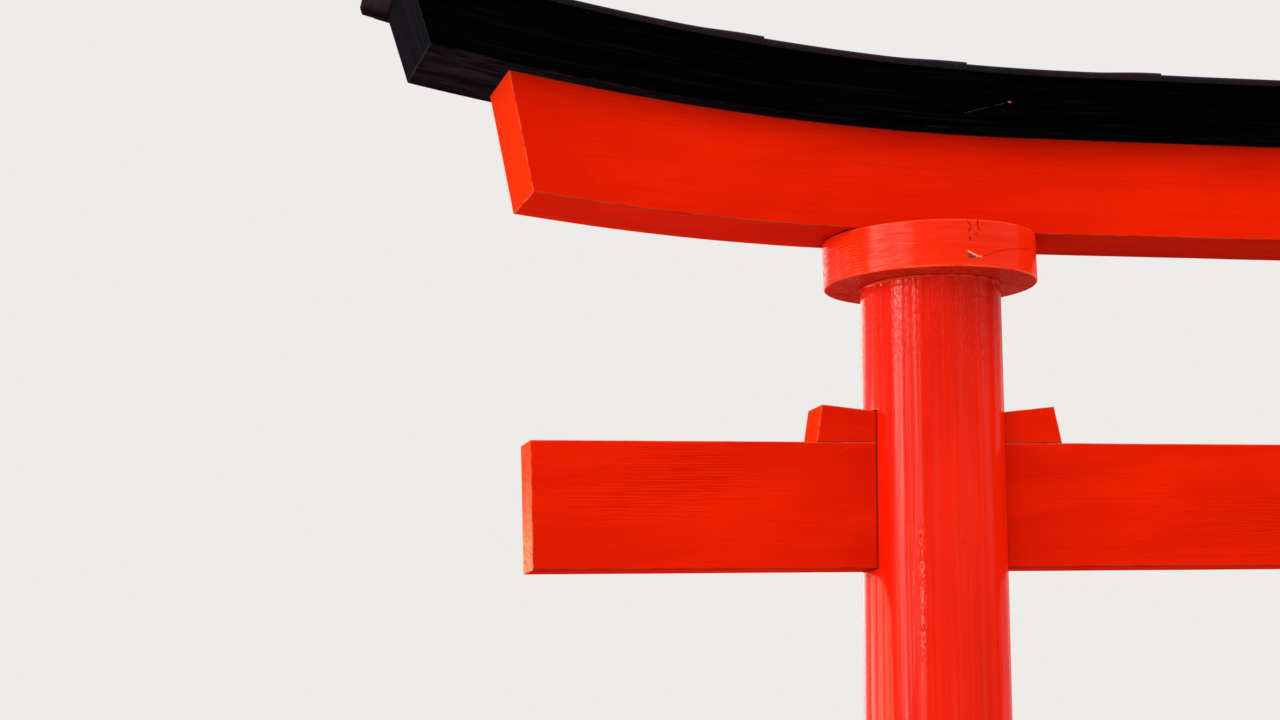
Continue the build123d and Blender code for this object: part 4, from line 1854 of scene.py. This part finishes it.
@dataclass(frozen=True)
class UpperLintel:
    """Upper lintel: seated on the lower one's arc, its top on a tighter arc and falling to the back."""

    finish: WeatheredBlack
    seed: int
    low_reach: float = 1.793
    slant: float = 0.29
    sunk: float = 0.0006
    counts: tuple[int, int, int] = (400, 24, 20)
    scratch: tuple[tuple[float, float], tuple[float, float]] = ((0.094, 2.554), (0.157, 2.571))
    scratch_scale: float = 100.0
    nick: tuple[float, float] = (0.165, 2.573)
    nick_long: float = 2.2
    nick_reach: float = 0.0027
    # painted shadow on the faces just under the cover
    cover_shade: float = 0.06
    # the underside darker away from the ends
    darker_inwards: Ramp = Ramp(1.58, -0.45, 0.8)

    def _place(self, unit: Array) -> Array:
        """Between the seat and the top, which falls to the back."""
        return between(unit, (SEAT, CREST), self.low_reach, self.slant, GATE.upper_depth, GATE.fall,
                       self.sunk)

    def _dress(self, unit: Array, surface: Array) -> Marks:
        """Nick with a scratch on the front, painted shadow under the cover, and the underside darker away
        from the ends.

        Args:
            unit: Points of the unit cube.
            surface: Points of the lintel.

        Returns:
            The marks by name.
        """
        x, _, z = np.moveaxis(surface, -1, 0)
        front = unit[..., 2] < AT_EDGE
        start, stop = np.array(self.scratch)
        here, run = np.stack([x, z], axis=-1) - start, stop - start
        length = np.linalg.norm(run)
        across = here @ np.array([-run[1], run[0]]) / length
        nick = near(np.hypot((x - self.nick[0]) / self.nick_long, z - self.nick[1]), self.nick_reach)
        # underside darker away from the ends
        darker_inwards = self.darker_inwards.at(np.abs(x - GATE.middle)) * (unit[..., 1] < AT_EDGE)
        # painted shadow just under the cover, with the darker underside
        grime = np.maximum(near(1.0 - unit[..., 1], self.cover_shade), darker_inwards)
        scratch = np.where(front, across * self.scratch_scale, 1.0)
        return {"scratch": scratch, "pale": here @ run / length**2, "bare": nick * front, "grime": grime}

    def build(self) -> None:
        """Makes the lintel, its grid close round the nick."""
        plan = MeshPlan()
        spots = ((self.nick[0] - GATE.middle + self.low_reach,), (self.nick[1] - GATE.seat,), ())
        size = (2 * self.low_reach, GATE.crest - GATE.seat, GATE.upper_depth)
        plan.board(self._place, size, self.counts, self.seed, self._dress, spots=spots)
        plan.build("upper_lintel_timber", self.finish.material(), "black_timber", ["upper_lintel"])


@dataclass(frozen=True)
class Stretch:
    """One sheet of the cover: where it starts and stops, where it is raised over others and how far.

    An eave is how far the sheet's end stands out from the lintel's slanted end, which it follows,
    and lapped_at is where the sheet outside it ends on it.
    """

    name: str
    start: float
    stop: float
    raised: tuple[tuple[float, float], ...] = ()
    eave: float | None = None
    rise: float = 0.0021
    lapped_at: float | None = None


@dataclass(frozen=True)
class Cover:
    """Sheet-metal cover on the upper lintel: folded sheets, each lapped over the next one inwards."""

    finish: BrownSheet
    lintel: UpperLintel
    seed: int
    thickness: float = 0.0008
    stand_off: float = 0.0024
    hem: float = 0.0088
    fold: float = 0.0058
    tight: float = 0.0009
    bend: float = 0.0016
    lift: float = 0.0007
    first_rise: float = 0.0012
    lap: float = 0.022
    joggle: float = 0.090
    droop: float = 1.25
    pitch: float = 0.3065
    half_count: int = 6
    first_lap: float = 1.619
    end_inner: float = 1.673
    end_out: float = 0.036
    first_out: float = 0.019
    row_step: float = 0.010
    row_rounding: float = 0.0012
    dent_waves: float = 6.0
    dent_high: float = 0.00022
    # strength of the painted highlight on the bends
    bend_seen: float = 4.0
    edge_reach: float = 0.003
    edge_pale: float = 0.7
    # painted shadow on a sheet where the next one outwards ends over it
    lap_out: float = 0.0016
    lap_reach: float = 0.0030
    # painted shade growing down the hems
    hem_shade: float = 0.55
    hem_power: float = 1.5

    def _fold_line(self) -> tuple[Array, Array]:
        """Middle line of the folded sheet across the roof, and its outward normals.

        The line runs up inside the front hem, round its fold, up the hem, over the roof and down
        the back the same way. Rounded corners are arcs; normals are at right angles to the line.

        Returns:
            Points and normals, each as depth and height over the crest line.
        """
        half = GATE.upper_depth / 2
        out = half + self.stand_off
        hem, tight, bend, lift = self.hem, self.tight, self.bend, self.lift
        quarter = np.linspace(0.0, math.pi / 2, 6)
        turn = np.linspace(math.pi, math.tau, 8)
        inner = np.stack([np.full(4, -out + 2 * tight), np.linspace(-hem + self.fold, -hem + tight, 4)], -1)
        bottom = np.stack([-out + tight - tight * np.cos(turn), -hem + tight + tight * np.sin(turn)], -1)
        rising = np.stack([np.full(5, -out), np.linspace(-hem + tight, lift - bend, 5)], -1)
        shoulder = np.stack([-out + bend * (1 - np.cos(quarter)), lift - bend + bend * np.sin(quarter)], -1)
        front = np.concatenate([inner[:-1], bottom, rising[1:-1], shoulder])
        back = front[::-1] * np.array([-1.0, 1.0])
        top = np.stack([np.linspace(-out + bend, out - bend, 22), np.full(22, lift)], -1)[1:-1]
        line = np.concatenate([front, top, back])
        line[:, 1] -= GATE.fall * (np.clip(line[:, 0], -out, out) + half)
        along = np.gradient(line, axis=0)
        normals = np.stack([-along[:, 1], along[:, 0]], -1)
        return line, normals / np.linalg.norm(normals, axis=1, keepdims=True)

    def _stretches(self) -> list[Stretch]:
        """Sets out the sheets of the left half.

        Returns:
            The sheets from the end towards the middle; the end and the first follow the eave.
        """
        edges = [-self.first_lap + self.pitch * place for place in range(self.half_count)]
        over_end = ((-2.1, -self.end_inner), (edges[0] - self.lap, 0.0))
        made = [Stretch("cover_end_left", -self.end_inner, -2.0, eave=self.end_out),
                Stretch("cover_sheet_left_1", edges[0], -2.0, over_end, self.first_out, self.first_rise)]
        for place, (outer, edge) in enumerate(zip(edges, edges[1:]), start=2):
            made.append(Stretch(f"cover_sheet_left_{place}", edge, outer - self.lap,
                                ((edge - self.lap, 0.0),), lapped_at=outer))
        return made

    def _raised(self, stretch: Stretch, x: Array) -> Array:
        """Raises a sheet where it lies over others.

        Args:
            stretch: Which sheet.
            x: Distances from the gate's middle.

        Returns:
            How far it is raised: smooth steps, each a joggle long.
        """
        up = np.zeros_like(x)
        for low, high in stretch.raised:
            rising, falling = (x - low) / self.joggle + 1.0, (high - x) / self.joggle + 1.0
            up = np.maximum(up, bounded(rising) * bounded(falling))
        return stretch.rise * up * up * (3.0 - 2.0 * up)

    def _section(self, stretch: Stretch, x: Array, seed: int) -> Array:
        """Folded line carried along the crest and thickened to both sides.

        Args:
            stretch: Which sheet.
            x: Distances from the gate's middle, rows by columns of the line.
            seed: Chooses its dents.

        Returns:
            Points round the closed section, row by row: the outer face, then the inner one back.
        """
        line, normals = self._fold_line()
        depth, height = np.broadcast_to(line[:, 0], x.shape), line[:, 1][None, :]
        up = self._raised(stretch, x)
        dent = ripple(np.stack([x, depth, np.zeros(x.shape)], -1), self.dent_waves, self.dent_high, seed)
        held = self.droop * bounded(-height / self.hem)
        y = depth * (1.0 + up / (GATE.upper_depth / 2))
        z = CREST.height(x) + height + up * (1.0 - held) + np.minimum(dent, 0.0)
        slope = np.gradient(CREST.height(x[:, :1]), axis=0) / np.gradient(x[:, :1], axis=0)
        across, upward = normals[None, :, 0], normals[None, :, 1]
        outer, inner = [np.stack([x - slope * upward * move, y + across * move, z + upward * move], -1)
                        for move in (self.thickness / 2, -self.thickness / 2)]
        return np.concatenate([outer, inner[:, ::-1]], axis=1)

    def _marks(self, stretch: Stretch, section: Array, to_edge: Array) -> Marks:
        """Marks of a sheet: its inner face, painted shadow in the lap and painted shade down the hems, a
        painted highlight on the bends, and pale cut edges.

        Args:
            stretch: Which sheet.
            section: Points round the closed section, row by row.
            to_edge: Distance of each row from the nearer cut edge.

        Returns:
            The marks by name.
        """
        line, normals = self._fold_line()
        below = line[:, 1] + GATE.fall * (line[:, 0] + GATE.upper_depth / 2)
        turning = np.abs(np.gradient(np.unwrap(np.arctan2(normals[:, 1], normals[:, 0]))))
        bent = bounded(turning * self.bend_seen) * (below > -0.5 * self.hem)
        down = bounded(-np.concatenate([below, below[::-1]]) / self.hem)
        # painted shade growing down the hems
        shaded = self.hem_shade * down**self.hem_power
        if stretch.lapped_at is not None:
            # painted shadow where the sheet outwards ends
            lapped = near(section[..., 0] - stretch.lapped_at - self.lap_out, self.lap_reach)
            shaded = np.maximum(lapped, shaded)
        # painted highlight along the bends of the outer face
        pale = np.concatenate([bent, np.zeros(len(line))])[None, :]
        return {"under": np.repeat([0.0, 1.0], len(line)), "grime": shaded,
                "arris": np.maximum(pale, near(to_edge, self.edge_reach) * self.edge_pale)}

    def _sheet(self, stretch: Stretch, side: Side, seed: int) -> None:
        """Makes one sheet: its closed section from edge to edge, and the two cut edges.

        Args:
            stretch: Which sheet.
            side: Which half of the gate it lies on.
            seed: Chooses its dents and its place in the bloom.
        """
        height = self._fold_line()[0][:, 1][None, :]
        far = np.broadcast_to(stretch.stop, height.shape)
        if stretch.eave is not None:
            reach = self.lintel.low_reach
            far = -CREST.meets(reach + stretch.eave, SEAT.height(reach), self.lintel.slant, height)
        length = abs(float(far.mean()) - stretch.start)
        spots = () if stretch.lapped_at is None else (abs(stretch.lapped_at - stretch.start),)
        steps = lines(max(int(length / self.row_step), 6), length, self.row_rounding, spots)[:, None]
        section = self._section(stretch, stretch.start + steps * (far - stretch.start), seed)
        marks = self._marks(stretch, section, np.minimum(steps, 1.0 - steps) * length)
        placed = on_side(section + np.array([GATE.middle, 0.0, 0.0]), side)
        plan = MeshPlan()
        plan.grid(placed, placed + seed, wrap_columns=True, **marks)
        outer, inner = np.split(placed, 2, axis=1)
        for row in (0, -1):
            edge = np.stack([outer[row], inner[row, ::-1]])
            plan.grid(edge, edge + seed, arris=self.edge_pale)
        name = stretch.name if side is Side.LEFT else stretch.name.replace("left", "right")
        plan.build(name + "_metal", self.finish.material(), "cover_sheet", [name])

    def build(self) -> None:
        """Makes every sheet of both halves, and the one that closes the middle."""
        for side, first_seed in ((Side.LEFT, self.seed), (Side.RIGHT, self.seed + 20)):
            for place, stretch in enumerate(self._stretches()):
                self._sheet(stretch, side, first_seed + place)
        reach = self.lap + self.first_lap - (self.half_count - 1) * self.pitch
        self._sheet(Stretch("cover_sheet_middle", reach, -reach), Side.LEFT, self.seed + 40)


# Studio


@dataclass(frozen=True)
class SoftLamp:
    """Wide, far lamp: where it stands round the gate, how wide it looks, its strength and colour."""

    name: str
    bearing: float
    height: float
    width: float
    strength: float
    colour: Triple
    shines: bool = True

    def build(self) -> None:
        """Adds the lamp. Its bearing is turned from the gate's front (-Y) towards -X, in degrees."""
        turn, lift = math.radians(self.bearing), math.radians(self.height)
        level = math.cos(lift)
        towards = Vector((-math.sin(turn) * level, -math.cos(turn) * level, math.sin(lift)))
        lamp = bpy.data.lights.new(self.name, "SUN")
        lamp.angle = math.radians(self.width)
        lamp.energy = self.strength
        lamp.color = self.colour
        holder = bpy.data.objects.new(self.name, lamp)
        holder.matrix_world = towards.to_track_quat("Z", "Y").to_matrix().to_4x4()
        holder.visible_glossy = self.shines
        bpy.context.scene.collection.objects.link(holder)


@dataclass(frozen=True)
class Studio:
    """Pale floor, even pale surroundings, soft lamps and the camera."""

    lamps: tuple[SoftLamp, ...]
    floor_finish: StudioFloor
    surroundings: Triple = (0.545, 0.545, 0.55)
    backdrop: Triple = (0.85, 0.835, 0.81)
    floor_reach: float = 60.0
    lens: float = 73.10
    sensor: float = 36.0
    place: Triple = (-1.27772, -3.53160, 1.60005)
    right: Triple = (0.96966789, -0.24290335, -0.02724237)
    upward: Triple = (-0.01347514, -0.16440925, 0.98630017)
    ahead: Triple = (0.24405451, 0.95601651, 0.16269553)

    def _floor(self) -> None:
        """Adds the floor."""
        mesh = bpy.data.meshes.new("floor")
        ways = ((-1.0, -1.0), (1.0, -1.0), (1.0, 1.0), (-1.0, 1.0))
        corners = [(x * self.floor_reach, y * self.floor_reach, 0.0) for x, y in ways]
        mesh.from_pydata(corners, [], [(0, 1, 2, 3)])
        mesh.materials.append(self.floor_finish.material())
        floor = bpy.data.objects.new("floor", mesh)
        bpy.context.scene.collection.objects.link(floor)

    def _surroundings(self) -> None:
        """Lights the world evenly, and shows it paler to the camera, in gloss and through glass."""
        world = bpy.data.worlds.new("surroundings")
        world.use_nodes = True
        s = NodeSheet("surroundings", world.node_tree)
        camera, gloss, glass = [s.node("ShaderNodeLightPath", output=f"Is {ray} Ray")
                                for ray in ("Camera", "Glossy", "Transmission")]
        colour = s.mix(paint(*self.surroundings), paint(*self.backdrop), camera.most(gloss).most(glass))
        s.tree.links.new(colour.socket, s.tree.nodes["Background"].inputs["Color"])
        bpy.context.scene.world = world

    def _camera(self) -> None:
        """Places the camera from its three directions."""
        view = bpy.data.cameras.new("camera")
        view.lens = self.lens
        view.sensor_width = self.sensor
        camera = bpy.data.objects.new("camera", view)
        facing = Matrix((self.right, self.upward, [-part for part in self.ahead])).transposed()
        camera.matrix_world = Matrix.Translation(self.place) @ facing.to_4x4()
        bpy.context.scene.collection.objects.link(camera)
        bpy.context.scene.camera = camera

    def build(self) -> None:
        """Sets the stage."""
        self._camera()
        self._floor()
        self._surroundings()
        for lamp in self.lamps:
            lamp.build()
        bpy.context.scene.view_settings.view_transform = "Standard"


# Choices

BOARD_PAINT = GlossPaint(
    name="vermilion_boards", body=paint(0.80, 0.0145, 0.0006), deep=paint(0.64, 0.0095, 0.0005),
    roughness=0.42, coat=0.02, coat_roughness=0.25, specular=0.0, ridge_high=0.00050, ridge_fill=0.10,
    stroke_high=0.00030, skin_high=0.00006, planing_high=0.00020, wear=0.35, lines=0.30)
POST_PAINT = GlossPaint(
    name="vermilion_posts", body=paint(0.80, 0.0130, 0.0005), deep=paint(0.66, 0.0090, 0.0005),
    roughness=0.22, coat=0.19, coat_roughness=0.09, specular=0.012, ridge_high=0.00018, ridge_fill=0.06,
    stroke_high=0.00024, skin_high=0.00007, planing_high=0.00040, wear=0.60, lines=0.10, streak=0.5,
    dulling=0.10, brushed=0.8, thin=paint(0.92, 0.13, 0.045))
RING_PAINT = GlossPaint(
    name="vermilion_rings", body=paint(0.88, 0.0230, 0.0008), deep=paint(0.78, 0.0170, 0.0008),
    roughness=0.40, coat=0.23, coat_roughness=0.17, specular=0.0, ridge_high=0.00030, ridge_fill=0.12,
    stroke_high=0.00046, skin_high=0.00013, planing_high=0.00020, wear=0.40, lines=0.20, streak=0.25,
    under_sheen=0.36, brushed=0.7, lay=(1.0, 0.15, 1.4), grime=paint(0.030, 0.005, 0.004))
BLACK_PAINT = WeatheredBlack(
    name="black_lintel", body=paint(0.0007, 0.0005, 0.0006), bloom=paint(0.0220, 0.0155, 0.0190),
    chalked=paint(0.0105, 0.0100, 0.0145), edge=paint(0.032, 0.027, 0.031),
    scratched=paint(0.024, 0.018, 0.017), nick=paint(0.62, 0.10, 0.035), roughness=0.60, specular=0.0)
SHEET_METAL = BrownSheet(
    name="cover_brown", body=paint(0.0055, 0.0032, 0.0064), warm=paint(0.020, 0.0068, 0.0096),
    bloom=paint(0.038, 0.024, 0.040), shut=paint(0.0008, 0.0004, 0.0006), roughness=0.52, metallic=0.06)
BAND_METAL = BandLacquer(
    name="band_black", body=paint(0.006, 0.006, 0.0065), dust=paint(0.13, 0.11, 0.09),
    metal=paint(0.12, 0.11, 0.10), roughness=0.38)
PALE_FLOOR = StudioFloor("floor_pale", paint(0.64, 0.635, 0.63), paint(0.615, 0.61, 0.605))

LEFT_GROOVES = (
    Groove(-128.2, 1.72, 2.06, 24.0, 0.0008, 0.0005),
    Groove(-131.5, 1.84, 2.06, 20.0, 0.0007, 0.0004),
    Groove(-72.0, 0.55, 1.35, -9.0, 0.0007, 0.0007),
    Groove(48.0, 1.05, 1.88, 7.0, 0.0009, 0.0009),
    Groove(112.0, 0.45, 1.20, -6.0, 0.0007, 0.0008),
)
RIGHT_GROOVES = (
    Groove(-101.0, 0.62, 1.46, 10.0, 0.0008, 0.0008),
    Groove(-47.0, 1.30, 1.86, -8.0, 0.0007, 0.0007),
    Groove(66.0, 0.70, 1.62, -7.0, 0.0009, 0.0010),
)
LEFT_CRACKS = (
    Crack(((-83.5, 2.386), (-83.9, 2.377), (-83.3, 2.368)), 0.0006, 0.0014),
    Crack(((-89.6, 2.381), (-88.3, 2.376), (-87.6, 2.3725)), 0.0005, 0.0008, 0.9),
    Crack(((-88.1, 2.3700), (-88.9, 2.3668)), 0.0009, 0.0008, 0.8),
    Crack(((-85.4, 2.3640), (-85.0, 2.3618)), 0.0008, 0.0006, 0.8),
    Crack(((-88.6, 2.3575), (-88.4, 2.3530)), 0.0009, 0.0008, 0.8),
    Crack(((-89.9, 2.3376), (-88.7, 2.3350)), 0.0008, -0.0005, 0.0),
    Crack(((-88.9, 2.3362), (-86.9, 2.3326)), 0.0006, -0.0005, 0.0),
    Crack(((-87.3, 2.3336), (-84.9, 2.3306)), 0.0007, -0.0004, 0.0),
    Crack(((-84.9, 2.3310), (-82.6, 2.3300)), 0.0005, -0.0003, 0.0),
    Crack(((-89.2, 2.3338), (-86.6, 2.3306), (-84.0, 2.3296)), 0.0006, 0.0006, 0.9),
    Crack(((-80.7, 2.331), (-74.0, 2.338), (-67.4, 2.3426), (-55.0, 2.349), (-43.0, 2.353)),
          0.0007, 0.0004, 0.30),
)
RIGHT_CRACKS = (
    Crack(((-120.0, 2.386), (-119.5, 2.374), (-120.3, 2.361)), 0.0006, 0.0013),
    Crack(((-96.0, 2.314), (-95.2, 2.329), (-95.9, 2.339)), 0.0005, 0.0009, 0.8),
)
LEFT_CHIPS = (Chip(((-90.3, 2.3262), (-85.2, 2.3268), (-86.4, 2.3305), (-89.9, 2.3352)), 0.0016),)
RIGHT_CHIPS = (Chip(((-62.4, 2.3850), (-61.8, 2.3768), (-58.2, 2.3762), (-57.5, 2.3850)), 0.0014),)

GRAIN_PATCHES = (
    GrainPatch(-0.318, 2.032, 0.085, 0.044, 1.0),
    GrainPatch(-0.430, 1.992, 0.070, 0.030, 0.7),
    GrainPatch(0.620, 1.960, 0.150, 0.035, 0.7),
    GrainPatch(1.550, 2.030, 0.180, 0.030, 0.6),
    GrainPatch(2.480, 1.975, 0.120, 0.045, 0.9),
    GrainPatch(1.100, 1.990, 3.000, 0.300, 0.16),
)
LAMPS = (
    SoftLamp("key", 68.0, 24.0, 42.0, 1.52, (1.0, 0.93, 0.84)),
    SoftLamp("core_left", 77.0, 7.0, 17.0, 0.40, (1.0, 0.88, 0.72)),
    SoftLamp("core_right", 46.0, 7.0, 18.0, 0.42, (1.0, 0.88, 0.72)),
    SoftLamp("wing_near", 104.0, 3.0, 15.0, 0.32, (1.0, 0.80, 0.50)),
    SoftLamp("wing_middle", 120.0, 3.0, 15.0, 0.38, (1.0, 0.80, 0.50)),
    SoftLamp("wing_far", 136.0, 3.0, 15.0, 0.38, (1.0, 0.82, 0.58)),
    SoftLamp("rim", 177.0, 10.0, 22.0, 0.45, (1.0, 0.90, 0.78)),
    SoftLamp("fill", -75.0, 34.0, 50.0, 2.15, (1.0, 0.97, 0.94), shines=False),
    SoftLamp("back", -150.0, 25.0, 50.0, 1.40, (1.0, 0.98, 0.96), shines=False),
)


def main() -> None:
    """Builds every sub-assembly in order."""
    logging.basicConfig(level=logging.INFO)
    Studio(LAMPS, PALE_FLOOR).build()
    Post(Side.LEFT, POST_PAINT, LEFT_GROOVES, RoughPatch(-124.5, -115.0, 1.72, 2.00), 11).build()
    Post(Side.RIGHT, POST_PAINT, RIGHT_GROOVES, RoughPatch(-70.0, -60.0, 1.40, 1.70), 12).build()
    Ring(Side.LEFT, RING_PAINT, LEFT_CRACKS, LEFT_CHIPS, (-148.0, -41.0), 24.0, 21).build()
    Ring(Side.RIGHT, RING_PAINT, RIGHT_CRACKS, RIGHT_CHIPS, (-124.0, -50.0), -12.0, 22).build()
    for place, side in enumerate(Side):
        FootBand(side, BAND_METAL, 31 + place).build()
        Wedge(side, False, BOARD_PAINT, 41 + place).build()
        Wedge(side, True, BOARD_PAINT, 43 + place).build()
    TieBeam(BOARD_PAINT, 51, GRAIN_PATCHES).build()
    Strut(BOARD_PAINT, 55).build()
    LowerLintel(BOARD_PAINT, 61).build()
    upper = UpperLintel(BLACK_PAINT, 71)
    upper.build()
    Cover(SHEET_METAL, upper, 81).build()


if __name__ == "__main__":
    main()
